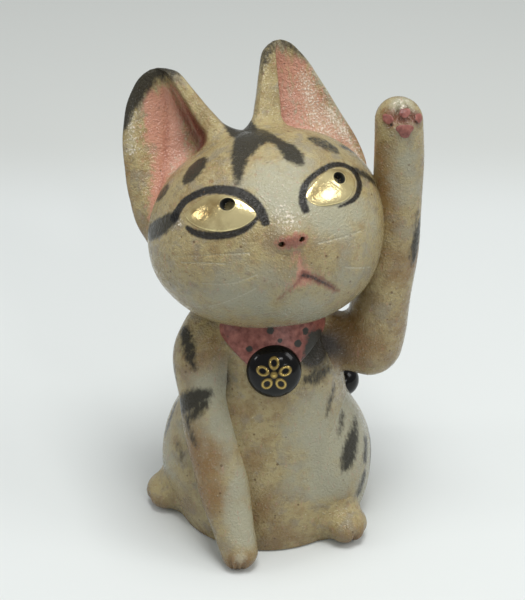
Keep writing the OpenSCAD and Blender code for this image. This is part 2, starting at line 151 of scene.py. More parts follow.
def soft_lamp(name, place, aim, size, power):
    """A square soft box of a size in mm and a power in watts, at a place in mm and turned to face the aim."""
    lamp = bpy.data.objects.new(name, bpy.data.lights.new(name, "AREA"))
    lamp.data.size = size * MM
    lamp.data.energy = power
    lamp.location = Vector(np.array(place) * MM)
    lamp.rotation_euler = Vector(np.array(aim) - np.array(place)).to_track_quat("-Z", "Y").to_euler()
    bpy.context.scene.collection.objects.link(lamp)


soft_lamp("overhead_lamp", (30.0, -90.0, 740.0), (0.0, 0.0, 60.0), 280.0, 3.1)
soft_lamp("window_lamp", (500.0, -130.0, 480.0), (0.0, 0.0, 60.0), 240.0, 0.7)
soft_lamp("front_lamp", (216.0, -479.0, 501.0), (0.0, 0.0, 80.0), 45.0, 0.2)
soft_lamp("side_lamp", (-579.0, -124.0, 395.0), (0.0, 0.0, 80.0), 120.0, 0.35)
soft_lamp("low_lamp", (300.0, -510.0, 245.0), (0.0, 0.0, 90.0), 55.0, 0.25)


# Body
# A hollow pear of stoneware, pinched up from a flat base and narrowed to the neck. It was brushed
# with iron slip, dipped in a thin ash glaze and fired until the edges toasted.

# Each level: its height, half width and half depth.
LEVELS = [[0, 21.5, 20.5], [12, 21.9, 20.6], [46, 16.3, 15.5], [62, 9, 9]]
BASE_EDGE = 0.8
BASE_EDGE_SHARE = 0.04


def smooth_path(rows, shares):
    """Points at shares from 0 to 1 of a Catmull-Rom curve through the rows, its end rows doubled."""
    rows = np.asarray(rows, float)
    x = np.asarray(shares, float) * (len(rows) - 1)
    i = np.minimum(x.astype(int), len(rows) - 2)
    t = (x - i)[:, None]
    a, b, c, d = (rows[np.clip(i + k, 0, len(rows) - 1)] for k in (-1, 0, 1, 2))
    return b + (c - a) * t / 2 + (2 * a - 5 * b + 4 * c - d) * t**2 / 2 + (3 * b - a - 3 * c + d) * t**3 / 2


def round_columns(count):
    """Angles of a ring's columns, once round."""
    return np.linspace(0, 2 * np.pi, count, endpoint=False)


def body_rings(rows, columns):
    """Ellipses of the body's levels from the base up, closest at the rounded base edge. Shrinking rings close
    the base and the neck."""
    shares = np.concatenate([np.linspace(0, BASE_EDGE_SHARE, 14), np.linspace(BASE_EDGE_SHARE, 1, rows)[1:]])
    z, wide, deep = smooth_path(LEVELS, shares).T
    under = np.clip(1 - z / BASE_EDGE, 0, 1)
    inset = BASE_EDGE * (1 - np.sqrt(1 - under**2))
    wide, deep = wide - inset, deep - inset
    sole = np.linspace(0.04, 0.97, 10)
    neck = np.linspace(0.9, 0.1, 5)
    z = np.concatenate([0 * sole, z, 0 * neck + z[-1]])
    wide = np.concatenate([sole * wide[0], wide, neck * wide[-1]])
    deep = np.concatenate([sole * deep[0], deep, neck * deep[-1]])
    turn = round_columns(columns)
    return np.stack([wide[:, None] * np.cos(turn), deep[:, None] * np.sin(turn),
                     np.broadcast_to(z[:, None], (len(z), columns))], -1)


def outward(rings):
    """Unit normals of a grid that is closed round its columns, pointing away from the form's middle."""
    round_it = np.roll(rings, -1, 1) - np.roll(rings, 1, 1)
    along_it = np.gradient(rings, axis=0)
    normal = np.cross(round_it, along_it)
    normal /= np.maximum(np.linalg.norm(normal, axis=-1, keepdims=True), 1e-9)
    facing = (normal * (rings - rings.mean((0, 1)))).sum()
    return normal * np.sign(facing)


WAVES = np.array([[0.31, 0.12, 0.22], [-0.17, 0.29, 0.26], [0.08, -0.35, 0.31], [0.45, 0.38, -0.12]])
WAVER = 0.3


def hand_waver(points, depth):
    """The unevenness that fingers leave: four sine waves 10 to 16 mm long, at most depth mm high in all."""
    return depth / len(WAVES) * np.sin(points @ WAVES.T + np.arange(len(WAVES))).sum(-1)


def brush(points, strokes, edge=0.8):
    """How much slip brush strokes leave at each point, from 0 to 1. A stroke is its strength and rows of a
    place and a half width in mm; it follows a smooth path through them and fades over the edge in mm."""
    cover = np.zeros(points.shape[:-1])
    for strength, rows in strokes:
        path = smooth_path(rows, np.linspace(0, 1, 10 * len(rows)))
        reach = path[:, -1].max() + edge
        near = ((points > path[:, :-1].min(0) - reach) & (points < path[:, :-1].max(0) + reach)).all(-1)
        away = np.linalg.norm(points[near][:, None] - path[:, :-1], axis=-1) - path[:, -1]
        cover[near] = np.maximum(cover[near], strength * np.clip(0.5 - away.min(1) / edge, 0, 1))
    return cover


FUR_EDGE = 2.4


def fur_marks(points, strokes):
    """Fur marks: strokes with a broad edge, which the glaze breaks up into bristle ends."""
    return brush(points, strokes, FUR_EDGE)


def bells(points, patches):
    """The sum of soft round patches, each a place, a spread in mm and a height at its middle."""
    total = np.zeros(points.shape[:-1])
    for *place, spread, height in patches:
        total += height * np.exp(-((points - np.array(place)) ** 2).sum(-1) / (2 * spread**2))
    return total


TOASTED_UP = 2.5


def toasted_edge(points):
    """How far the edge at the floor toasted in the kiln: 1 at the floor, falling evenly to 0."""
    return np.clip(1 - points[..., 2] / TOASTED_UP, 0, 1)


def skin(name, rings, material, marks=None):
    """A closed mesh over a grid of points in mm: rows run along the form, columns once round it, and a
    fan closes each end. Marks are values at the grid's points that the material reads by name."""
    rows, columns, _ = rings.shape
    points = np.concatenate([rings.reshape(-1, 3), rings[[0, -1]].mean(1)])
    here = np.arange(rows * columns).reshape(rows, columns)
    beside = np.roll(here, -1, 1)
    quads = np.stack([here[:-1], beside[:-1], beside[1:], here[1:]], -1).reshape(-1, 4)
    tip = np.full(columns, rows * columns)
    fans = np.concatenate([np.stack([tip, beside[0], here[0]], -1),
                           np.stack([tip + 1, here[-1], beside[-1]], -1)])
    a, b, c, d = (points[quads[:, i]] for i in range(4))
    volume = (np.cross(a, b) * c).sum() + (np.cross(a, c) * d).sum()
    if volume < 0:
        quads, fans = quads[:, ::-1], fans[:, ::-1]
    mesh = bpy.data.meshes.new(name)
    mesh.from_pydata((points * MM).tolist(), [], quads.tolist() + fans.tolist())
    mesh.polygons.foreach_set("use_smooth", np.ones(len(mesh.polygons), bool))
    for mark, values in (marks or {}).items():
        values = np.broadcast_to(values, (rows, columns))
        flat = np.concatenate([values.ravel(), values[[0, -1]].mean(1)]).astype(np.float32)
        mesh.attributes.new(mark, "FLOAT", "POINT").data.foreach_set("value", flat)
    mesh.materials.append(material)
    made = bpy.data.objects.new(name, mesh)
    bpy.context.scene.collection.objects.link(made)
    return made


def seat(piece, slot, *nodes):
    """The piece rides on the figure and stands for these nodes; the slot is not used."""
    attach(piece, "root")
    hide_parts(*nodes)


# Ash-glazed stoneware: a speckled buff body under a thin milky glaze that pools grey-green, breaks to
# toast where it is thin, and has the fine orange-peel gloss that throws sparks of light.
BUFF = "#b1a173"
KHAKI = "#95865a"
GREY_HAZE = "#8d8676"
MILK = "#aeac94"
TOAST = "#8c6d41"
ROSE = "#d2937e"
PLUM = "#804637"
# The next colour is painted shade, laid where shade falls.
PAINTED_SHADE = "#150f0a"
INK = "#33312a"
LINE = "#120f0c"
DARK_FLECK = "#7d683f"
PALE_FLECK = "#cbc7ac"
SPECK = "#5d4326"
SCRATCH_AND_HIGHLIGHT = "#d2cdb2"
HOLE_SHADE = "#14110f"
PAINTED_GLINT = "#efe4d2"
CLOUD_MM = 6.0
HAZE_MM = 4.2
GRAIN_MM = 1.1
PEEL_MM = 0.5
BRISTLE_MM = 0.8
BRISTLE_PULL = 0.4
SPECK_MM = 2.6
SPECK_SHARE = 0.13
SPECK_EDGE = 0.03
SPECK_COVER = 0.75
PEEL_DEPTH = 0.36
GLAZE_IOR = 1.5
GLAZE_WET = 0.05
GLAZE_SATIN = 0.36
GLAZE_SHEEN = 0.5
INK_SHEEN = 0.2
# Each layer: its mark, the noise that breaks it up and how far, where it begins and is full, its cover and
# its colour.
GLAZE_LAYERS = [
    (None, "cloud", 1.0, -0.05, 0.15, 0.6, KHAKI),
    (None, "haze", 1.0, 0.0, 0.16, 0.6, GREY_HAZE),
    (None, "haze", -1.0, 0.03, 0.2, 0.45, TOAST),
    ("toast", "cloud", 1.6, 0.1, 0.95, 1.0, TOAST),
    (None, "grain", 1.0, 0.02, 0.16, 0.5, DARK_FLECK),
    ("milk", "cloud", 1.6, 0.15, 0.9, 0.85, MILK),
    (None, "peel", 1.0, 0.04, 0.18, 0.14, PALE_FLECK),
    ("rose", "bristle", 2.0, 0.1, 0.95, 0.8, ROSE),
    ("plum", "bristle", 0.8, 0.1, 0.9, 0.85, PLUM),
    # Painted shade: near-black laid in creases, in hollows and under the head and arm.
    ("painted_shade", "cloud", 0.5, 0.0, 1.0, 0.95, PAINTED_SHADE),
    # Pale scratches. The front paw and the ears also use this mark for a painted highlight and glints.
    ("scratch_and_highlight", "peel", 0.4, 0.2, 0.7, 0.6, SCRATCH_AND_HIGHLIGHT),
    # Painted glints: white specks standing in for sparks of light off the glaze.
    ("painted_glint", "peel", 4.0, 0.7, 1.5, 0.9, PAINTED_GLINT),
    ("ink_and_shade", "bristle", 1.1, 0.12, 0.86, 0.96, INK),
    ("line", "peel", 0.5, 0.25, 0.7, 0.97, LINE),
    # Painted shade inside the pierced holes of the eyes and nose, and in a pit on the raised paw.
    ("dark", "peel", 0.1, 0.3, 0.7, 1.0, HOLE_SHADE),
]


def ash_glazed_stoneware():
    """Lays the glaze's colours over one another, each by the piece's own mark and a noise of a real size."""
    material, tree, shader = new_material("ash_glazed_stoneware")
    place = add_node(tree, "ShaderNodeTexCoord", "Object")
    pulled = add_node(tree, "ShaderNodeMapping", 0, {"Vector": place, "Scale": (1.0, 1.0, BRISTLE_PULL)})
    noises = {}
    for name, vector, size, detail in (
            ("cloud", place, CLOUD_MM, 4.0), ("haze", place, HAZE_MM, 3.0), ("grain", place, GRAIN_MM, 4.0),
            ("peel", place, PEEL_MM, 2.0), ("bristle", pulled, BRISTLE_MM, 3.0)):
        noises[name] = add_node(tree, "ShaderNodeTexNoise", "Fac", {
            "Vector": vector, "Scale": 1 / (size * MM), "Detail": detail, "Roughness": 0.6})
    colour = to_linear(BUFF)
    for mark, noise, spread, begins, full, cover, code in GLAZE_LAYERS:
        amount = add_node(tree, "ShaderNodeAttribute", "Fac", attribute_name=mark) if mark else 0.0
        uneven = add_node(tree, "ShaderNodeMath", 0, {0: noises[noise], 1: spread, 2: amount},
                          operation="MULTIPLY_ADD")
        limits = {1: begins + spread / 2, 2: full + spread / 2, 4: cover}
        share = add_node(tree, "ShaderNodeMapRange", 0, {0: uneven, **limits},
                         interpolation_type="SMOOTHSTEP")
        colour = add_node(tree, "ShaderNodeMix", 2, {0: share, 6: colour, 7: to_linear(code)},
                          data_type="RGBA")
        if mark == "ink_and_shade":
            # Iron slip dries the glaze, so the marks shine less.
            sheen = add_node(tree, "ShaderNodeMapRange", 0, {0: share, 3: GLAZE_SHEEN, 4: INK_SHEEN})
            tree.links.new(sheen, shader.inputs["Specular IOR Level"])
    # Iron specks: one in each cell, as large as its own chance gives, and drowned where the glaze is milky.
    cells = add_node(tree, "ShaderNodeTexVoronoi", "Distance", {
        "Vector": place, "Scale": 1 / (SPECK_MM * MM)})
    chance = add_node(tree, "ShaderNodeSeparateColor", 0, {0: cells.node.outputs["Color"]})
    shrunk = add_node(tree, "ShaderNodeMath", 0, {0: chance, 1: -SPECK_SHARE, 2: cells},
                      operation="MULTIPLY_ADD")
    specks = add_node(tree, "ShaderNodeMapRange", 0, {
        0: shrunk, 1: -SPECK_EDGE, 2: SPECK_EDGE, 3: SPECK_COVER, 4: 0.0})
    milky = add_node(tree, "ShaderNodeAttribute", "Fac", attribute_name="milk")
    bared = add_node(tree, "ShaderNodeMapRange", 0, {0: milky, 1: 0.3, 2: 0.9, 3: 1.0, 4: 0.1})
    specks = add_node(tree, "ShaderNodeMath", 0, {0: specks, 1: bared}, operation="MULTIPLY")
    colour = add_node(tree, "ShaderNodeMix", 2, {0: specks, 6: colour, 7: to_linear(SPECK)},
                      data_type="RGBA")
    tree.links.new(colour, shader.inputs["Base Color"])
    gloss = add_node(tree, "ShaderNodeMapRange", 0, {
        0: noises["grain"], 1: 0.42, 2: 0.72, 3: GLAZE_WET, 4: GLAZE_SATIN})
    tree.links.new(gloss, shader.inputs["Roughness"])
    shader.inputs["IOR"].default_value = GLAZE_IOR
    relief = add_node(tree, "ShaderNodeMath", 0, {0: noises["grain"], 1: 0.6, 2: noises["peel"]},
                      operation="MULTIPLY_ADD")
    bump = add_node(tree, "ShaderNodeBump", 0, {
        "Height": relief, "Strength": 1.0, "Distance": PEEL_DEPTH * MM})
    tree.links.new(bump, shader.inputs["Normal"])
    return material


stoneware = ash_glazed_stoneware()

# Where the brush went and where the glaze pooled milky or stayed thin and toasted, and painted shade in the
# armpit, under the head and in the crease beside the leg.
CHEST_STROKES = [
    (0.7, [[9.5, -13.3, 44.5, 1.8], [11.8, -11.3, 44.6, 2.3], [13.7, -9.0, 44.5, 1.9]]),
    (0.75, [[15.9, -7.9, 39.2, 0.7], [15.0, -9.8, 36.6, 1.0], [14.1, -11.6, 33.6, 0.6]]),
    (0.8, [[18.1, -6.9, 30.8, 0.8], [17.1, -9.0, 28.3, 1.0], [16.2, -11.0, 25.8, 0.7]]),
    (1.0, [[12.5, -5.1, 55.7, 1.6], [11.3, -8.6, 53.8, 2.0], [9.9, -10.6, 50.2, 1.6]]),
]
BACK_STROKES = [
    (0.9, [[side * 5.0, 15.0, z, 0.7], [side * 10.0, 12.5, z - 2.5, 1.3], [side * 14.0, 8.0, z - 6.0, 0.8]])
    for side in (-1, 1) for z in (50.0, 42.0)
]
SPINE_STROKE = [(1.0, [[0.0, 12.5, 56.0, 1.6], [0.3, 16.0, 47.0, 2.0], [-0.3, 18.5, 36.0, 1.8],
                       [0.2, 20.0, 25.0, 1.0]])]
# Painted shade: in the armpit, on the chest in the head's shadow, and in the crease beside the front leg.
ARMPIT_SHADE = [[10.6, -8.8, 52.6, 2.7, 1.1], [11.6, -8.4, 49.2, 2.4, 1.0], [10.0, -11.5, 49.5, 2.2, 0.8]]
CHEST_SHADE = [[-10.2, -11.0, 48.2, 3.4, 0.42], [-9.0, -13.0, 44.5, 2.8, 0.36], [4.0, -13.0, 52.0, 4.0, 0.3]]
CREASE_SHADE = [(0.34, [[-9.8, -10.9, 49.0, 0.5], [-8.6, -15.2, 39.0, 0.8], [-5.3, -18.6, 28.5, 0.9],
                       [-3.0, -20.3, 17.2, 0.9], [-2.5, -20.5, 8.0, 0.8]])]
CREASE_EDGE = 2.2
MILK_PATCHES = [
    [15.0, -10.0, 27.0, 6.0, 0.5], [13.0, -13.0, 38.0, 5.0, 0.45], [8.0, -17.0, 31.0, 6.0, 0.5],
    [9.0, -17.5, 20.0, 5.0, 0.35], [14.0, -14.0, 16.0, 5.0, 0.6], [-12.0, 10.0, 30.0, 8.0, 0.6],
    [12.0, 12.0, 26.0, 8.0, 0.6], [-15.0, -8.0, 44.0, 5.0, 0.6], [0.0, 14.0, 48.0, 6.0, 0.4],
    [22.0, -3.0, 18.0, 5.0, 0.5], [-20.0, -8.0, 31.0, 4.0, 0.9],
]
TOAST_PATCHES = [
    [-7.0, -15.5, 37.0, 3.0, 0.6], [-4.0, -18.5, 26.0, 3.0, 0.6], [-2.0, -19.0, 14.0, 4.0, 0.5],
    [2.0, -16.0, 40.0, 3.5, 0.4], [8.0, -18.5, 4.0, 5.0, 0.35], [18.0, -10.0, 3.0, 4.0, 0.4],
    [0.0, -20.0, 1.0, 8.0, 0.3], [0.0, 20.0, 1.0, 12.0, 0.5], [-20.0, 0.0, 1.0, 10.0, 0.5],
]

rings = body_rings(200, 360)
normals = outward(rings)
rings = rings + normals * (hand_waver(rings, WAVER) * np.clip(rings[..., 2] / 4, 0, 1))[..., None]
body = skin("body", rings, stoneware, {
    "ink_and_shade": fur_marks(rings, CHEST_STROKES + BACK_STROKES + SPINE_STROKE),
    "painted_shade": bells(rings, ARMPIT_SHADE + CHEST_SHADE) + brush(rings, CREASE_SHADE, CREASE_EDGE),
    "milk": bells(rings, MILK_PATCHES),
    "toast": np.maximum(bells(rings, TOAST_PATCHES), 0.5 * toasted_edge(rings)),
})
seat(body, "ash_glazed_clay", "body")


# Head
# A hollow pinched ball, wider than deep, pressed onto the neck so that it looks up to the cat's left and
# leans over its right shoulder. Mouth and whiskers were scratched in before the glaze went on.
HEAD_MIDDLE = np.array([0.0, -2.0, 78.5])
HEAD_HALF = np.array([26.8, 23.5, 22.0])
BULGES = [(-75.0, -6.0, 38.0, 0.6), (47.0, -52.0, 30.0, 2.2)]
FACE_SCALE = 25.0
HEAD_WAVER = 0.25
ROSE_EDGE = 2.2
PLUM_EDGE = 2.4
GROOVE_EDGE = 1.8
LID_EDGE = 1.3
LIP_EDGE = 1.0


def turned(axis, degrees):
    """Matrix that turns by degrees about axis 0, 1 or 2, the right-handed way."""
    i, j = (axis + 1) % 3, (axis + 2) % 3
    matrix = np.eye(3)
    angle = np.radians(degrees)
    matrix[i, i] = matrix[j, j] = np.cos(angle)
    matrix[j, i] = np.sin(angle)
    matrix[i, j] = -np.sin(angle)
    return matrix


HEAD_TURN = turned(2, 14) @ turned(0, -15) @ turned(1, -10)


def from_head(points):
    """Points of the head's own frame, placed in the cat's."""
    return points @ HEAD_TURN.T + HEAD_MIDDLE


def head_half_at(q):
    """Half sizes of the head in direction q, fuller by a bell curve at the right cheek and at the left jowl.
    A bulge is degrees round from the nose and up from the middle, a spread in degrees and a height in mm."""
    full = np.zeros(q.shape[:-1])
    for lon, lat, spread, rise in BULGES:
        middle = turned(2, lon) @ turned(0, -lat) @ np.array([0.0, -1.0, 0.0])
        away = np.degrees(np.arccos(np.clip(q @ middle, -1, 1)))
        full += rise * np.exp(-(away / spread) ** 2)
    return HEAD_HALF + full[..., None]


def gap_to_head(points):
    """Distance of points outside the head, near enough close to its surface, and below 0 inside it."""
    local = (points - HEAD_MIDDLE) @ HEAD_TURN
    half = head_half_at(local / np.maximum(np.linalg.norm(local, axis=-1, keepdims=True), 1e-9))
    share = np.linalg.norm(local / half, axis=-1)
    return share * (share - 1) / np.maximum(np.linalg.norm(local / half**2, axis=-1), 1e-9)


MOUTH = [
    (0.8, [[0.5, -0.5, 0.5], [0.8, -2.4, 0.6], [0.9, -4.7, 0.6], [1.0, -7.0, 0.7]]),
    (0.6, [[1.0, -7.0, 0.7], [-0.5, -8.5, 0.6], [-2.1, -9.8, 0.55], [-3.6, -11.0, 0.45], [-4.6, -12.0, 0.3]]),
    (1.0, [[1.0, -7.0, 0.7], [2.8, -8.5, 0.65], [4.5, -10.6, 0.6], [6.4, -13.0, 0.45], [8.0, -15.4, 0.15]]),
]
MOUTH_ROSE = [[1.0, -7.2, 1.6, 0.7], [-1.0, -9.0, 1.4, 0.5], [3.0, -8.6, 1.4, 0.4]]
WHISKERS = [(1.0, [[*place, 0.16] for place in line]) for line in (
    [[-26.9, 4.0], [-17.0, 3.4], [-8.6, 2.2]],
    [[-24.2, 2.1], [-18.5, 1.5], [-14.1, 0.5]],
    [[-20.3, -4.4], [-14.1, -5.0], [-8.1, -3.5]],
    [[-21.2, -13.2], [-14.6, -10.1], [-8.9, -7.2]],
    [[5.4, -0.1], [10.0, -0.9], [16.3, -2.0]],
    [[10.4, -9.1], [13.9, -11.4], [17.9, -14.1]],
)]
MOUTH_DEPTH = 0.4
MOUTH_EDGE = 1.2
WHISKER_DEPTH = 0.2
WHISKER_EDGE = 0.6
PUPILS = {"left_eye": (15.2, 13.1), "right_eye": (-10.4, 15.0)}
PUPIL_RADIUS = 1.4
NOSTRILS = [(-2.0, 2.5), (2.0, 2.3)]
NOSTRIL_RADIUS = 0.5
PIT_DEPTH = 1.6
HOLE_RIM = 0.3


def pierced(chart, spots, radius):
    """How far each point lies in round holes at the spots: 1 inside, 0 outside, over a soft rim."""
    away = (np.linalg.norm(chart - np.array(spot), axis=-1) for spot in spots)
    return sum(np.clip((radius - gap) / HOLE_RIM + 0.5, 0, 1) for gap in away)


FACE_RELIEF = [[0.4, 8.0, 3.6, 0.7], [0.2, 2.0, 4.0, 0.4], [-5.5, -5.5, 5.0, 0.35], [7.0, -6.0, 5.0, 0.35],
               [-13.0, 23.5, 4.0, 0.35], [13.0, 20.0, 3.6, 0.35]]


def face_relief(chart):
    """Rise of the face over the plain ball: nose bridge, muzzle and brows up, mouth and whiskers cut in."""
    cut = MOUTH_DEPTH * brush(chart, MOUTH, MOUTH_EDGE) + WHISKER_DEPTH * brush(chart, WHISKERS, WHISKER_EDGE)
    return bells(chart, FACE_RELIEF) - cut


def on_head(chart, lift):
    """Points on the head, lift mm outside it. A chart point is mm right of and above the middle of the face,
    measured along the surface as on a globe seen from above its pole."""
    away = np.linalg.norm(chart, axis=-1) / FACE_SCALE
    round_it = np.arctan2(chart[..., 1], chart[..., 0])
    q = np.stack([np.sin(away) * np.cos(round_it), -np.cos(away), np.sin(away) * np.sin(round_it)], -1)
    normal = q / HEAD_HALF
    normal /= np.linalg.norm(normal, axis=-1, keepdims=True)
    return from_head(q * head_half_at(q) + normal * (lift + face_relief(chart))[..., None])


LID_INK = [
    (1.0, [[-24.6, 15.2, 1.4], [-22.6, 17.6, 1.2], [-20.2, 19.4, 1.15], [-15.0, 20.3, 1.1],
           [-10.7, 19.3, 1.2], [-7.2, 17.1, 1.25], [-5.1, 14.0, 1.2], [-4.2, 11.0, 1.1], [-3.9, 8.4, 0.85]]),
    (0.85, [[-20.9, 11.5, 0.7], [-18.9, 9.7, 1.05], [-15.0, 8.1, 1.1], [-10.5, 7.7, 0.95],
            [-7.2, 8.5, 0.7], [-4.9, 10.2, 0.55]]),
    (1.0, [[4.6, 8.5, 0.85], [4.8, 11.0, 0.9], [6.4, 14.0, 0.8], [9.2, 15.8, 0.75], [13.7, 17.0, 0.8],
           [17.6, 16.8, 0.8], [20.7, 15.0, 0.9], [21.8, 12.2, 0.95], [21.0, 9.2, 0.95], [18.1, 6.9, 0.75],
           [15.2, 6.4, 0.5], [12.4, 6.4, 0.25]]),
]
CROWN_INK = [
    (1.0, [[-24.6, 15.2, 1.8], [-29.0, 13.6, 3.0], [-36.5, 11.4, 3.2]]),
    (0.9, [[22.4, 13.6, 1.2], [25.5, 10.8, 1.3], [28.5, 7.3, 0.9]]),
    (1.0, [[0.6, 50.0, 6.2], [0.8, 43.0, 5.3], [1.4, 37.5, 5.2], [1.6, 34.2, 4.6]]),
    (1.0, [[-0.6, 34.0, 4.0], [-2.3, 30.8, 3.4], [-4.3, 28.2, 2.4], [-5.4, 25.5, 1.8],
           [-6.2, 23.0, 1.2], [-7.0, 20.2, 0.6]]),
    (1.0, [[4.6, 32.6, 2.6], [6.2, 29.4, 1.6], [7.4, 26.2, 2.3], [7.7, 23.2, 2.4], [8.0, 20.7, 1.1]]),
    (1.0, [[-19.4, 26.2, 2.0], [-17.2, 28.4, 2.9], [-15.4, 30.8, 2.4]]),
    (0.9, [[-34.6, 24.8, 2.0], [-31.5, 25.5, 2.7], [-29.6, 26.6, 2.0]]),
    (0.7, [[16.2, 27.2, 1.7], [18.6, 24.6, 2.7], [20.4, 21.8, 2.0]]),
    (0.8, [[25.6, 22.2, 1.1], [28.2, 20.6, 1.5], [30.4, 18.4, 1.1]]),
    (0.9, [[-44.0, 4.0, 1.6], [-48.0, 6.0, 2.2], [-52.0, 8.0, 1.4]]),
    (0.9, [[38.0, 3.0, 1.4], [43.0, 4.0, 2.0], [47.0, 5.0, 1.2]]),
]
NAPE_INK = [(0.95, [[0.0, 8.0, 21.0, 2.6], [0.0, 16.6, 15.6, 2.2], [0.0, 22.1, 7.5, 1.2]])]
NAPE_INK += [
    (0.9, [[side * 12.5, 17.4, 9.9, 1.0], [side * 14.3, 18.6, 4.0, 1.9], [side * 13.8, 18.9, -5.0, 0.9]])
    for side in (-1, 1)
]
CROWN_EDGE = 2.0
FACE_MILK = [
    [1.0, 19.5, 5.5, 0.85], [2.5, 10.5, 4.5, 0.7], [-10.0, -4.0, 6.0, 0.45], [9.7, 5.0, 4.0, 0.75],
    [20.0, 3.0, 5.0, 0.55], [16.0, -3.0, 6.0, 0.35], [-22.0, -11.0, 8.0, 0.38], [-10.0, -15.0, 7.0, 0.4],
    [6.0, -18.0, 8.0, 0.45], [12.0, 23.0, 3.0, 0.35], [0.0, -34.0, 10.0, 0.55],
]
FACE_TOAST = [
    [-14.0, 24.0, 6.0, 0.25], [-24.0, 21.0, 5.0, 0.4], [14.0, 22.0, 4.0, 0.3], [-17.0, -1.5, 6.0, 0.3],
    [11.0, -4.0, 4.0, 0.5], [-22.0, 4.0, 3.0, 0.4], [-4.0, 5.0, 3.0, 0.4], [26.0, 7.0, 4.0, 0.3],
    [-6.0, -7.0, 4.0, 0.45], [2.0, 1.0, 4.0, 0.5],
]
# Painted glints on the nose bridge, the brow and the right eye's outer corner.
FACE_GLINTS = [[0.4, 7.6, 2.6, 0.85], [-23.6, 13.6, 1.6, 1.0], [1.0, 15.0, 3.5, 0.35]]
FRECKLES = [(0.8, [[s, t, 0.35], [s + 0.4, t - 0.3, 0.3]]) for s, t in
            ([-26.2, 5.0], [-23.7, -0.6], [-10.0, -2.7], [-13.0, 22.6])]


def head_chart(rows, columns):
    """Chart points of a grid of circles round the middle of the face, out to the back of the head."""
    away = FACE_SCALE * np.linspace(0.004, np.pi - 0.01, rows)
    turn = round_columns(columns)
    return away[:, None, None] * np.stack([np.cos(turn), np.sin(turn)], -1)


def face_marks(chart):
    """Glaze clouds and rose lines of the face at chart points, shared by the head and the nose."""
    groove, lips = MOUTH[:1], MOUTH[1:]
    return {
        "milk": bells(chart, FACE_MILK),
        "toast": bells(chart, FACE_TOAST) + brush(chart, FRECKLES),
        "rose": 1.2 * brush(chart, groove, ROSE_EDGE) + bells(chart, MOUTH_ROSE),
        "plum": 1.2 * brush(chart, lips, PLUM_EDGE) + 0.4 * brush(chart, groove, GROOVE_EDGE),
        "scratch_and_highlight": brush(chart, WHISKERS, WHISKER_EDGE),
        "painted_glint": bells(chart, FACE_GLINTS),
        "line": np.maximum(brush(chart, LID_INK, LID_EDGE), 0.55 * brush(chart, lips, LIP_EDGE)),
    }


chart = head_chart(260, 360)
# The pupils and nostrils are cut in as pits, and their shade is painted dark.
holes = pierced(chart, PUPILS.values(), PUPIL_RADIUS) + pierced(chart, NOSTRILS, NOSTRIL_RADIUS)
plain = on_head(chart, np.zeros(chart.shape[:-1]))
rings = on_head(chart, hand_waver(plain, HEAD_WAVER) - PIT_DEPTH * holes)
nape = brush((rings - HEAD_MIDDLE) @ HEAD_TURN, NAPE_INK, CROWN_EDGE)
head = skin("head", rings, stoneware, {
    **face_marks(chart), "ink_and_shade": np.maximum(brush(chart, CROWN_INK, CROWN_EDGE), nape), "dark": holes,
})
seat(head, "ash_glazed_clay", "head")


# Ears
# Two petals of clay, cupped with a thumb, with thick rolled inner rims. Each was smoothed onto the crown,
# washed with rose slip inside and dipped black at the tip.

# Each row: its share of the height, the outer and inner half widths, the cup and the wall, all as shares.
EAR_ROWS = [[-0.3, 0.1, 0.1, 0.1, 1.2], [0.05, 0.75, 0.95, 0.3, 1.5], [0.3, 0.86, 1.05, 0.75, 1.3],
            [0.5, 0.84, 1.07, 1, 1], [0.62, 0.8, 0.88, 0.95, 0.92], [0.72, 0.72, 0.72, 0.85, 0.82],
            [0.84, 0.58, 0.55, 0.6, 0.72], [0.94, 0.36, 0.4, 0.27, 0.62], [0.98, 0.21, 0.24, 0.12, 0.5],
            [1, 0.06, 0.08, 0.03, 0.26]]
EAR_HEIGHT = 38.6
EAR_LEAN = turned(1, 2.5) @ turned(0, -12)
EAR_GAP = 6.0
FLARE_Z = 5.4
FLARE_FADE = 15.4
EAR_CUP = 6.0
EAR_DIP = 1.6
EAR_WALL = 4.6
EAR_TURN = np.radians(27.0)
EAR_BACK = 7.8
EAR_FOLD = 5.4
EAR_SHY = 0.06
EAR_SKIRT = (3.0, 3.5)
WASH_FOOT = 0.06
WASH_TOP = 0.08
TIP_EDGE = 0.12


def skirt(points, normals, gap, reach, height):
    """Draws the foot of a form out over what it seats on, as a thumb smooths a joint: points less than height
    mm above the seat slide along it on a quarter circle, by reach mm where they touch it."""
    step = 0.05
    above = gap(points)
    up = np.stack([gap(points + step * axis) - above for axis in np.eye(3)], -1) / step
    up /= np.maximum(np.linalg.norm(up, axis=-1, keepdims=True), 1e-9)
    along = normals - (normals * up).sum(-1, keepdims=True) * up
    along /= np.maximum(np.linalg.norm(along, axis=-1, keepdims=True), 0.2)
    low = np.clip(1 - above / height, 0, 1)
    return points + along * (reach * (1 - np.sqrt(1 - low**2)))[..., None]


def streak(high, across, at_tip, at_foot, spread):
    """A streak down an ear: a bell across it, whose middle runs straight between places at tip and foot."""
    return np.exp(-((across - at_foot - (at_tip - at_foot) * high) / spread) ** 2)


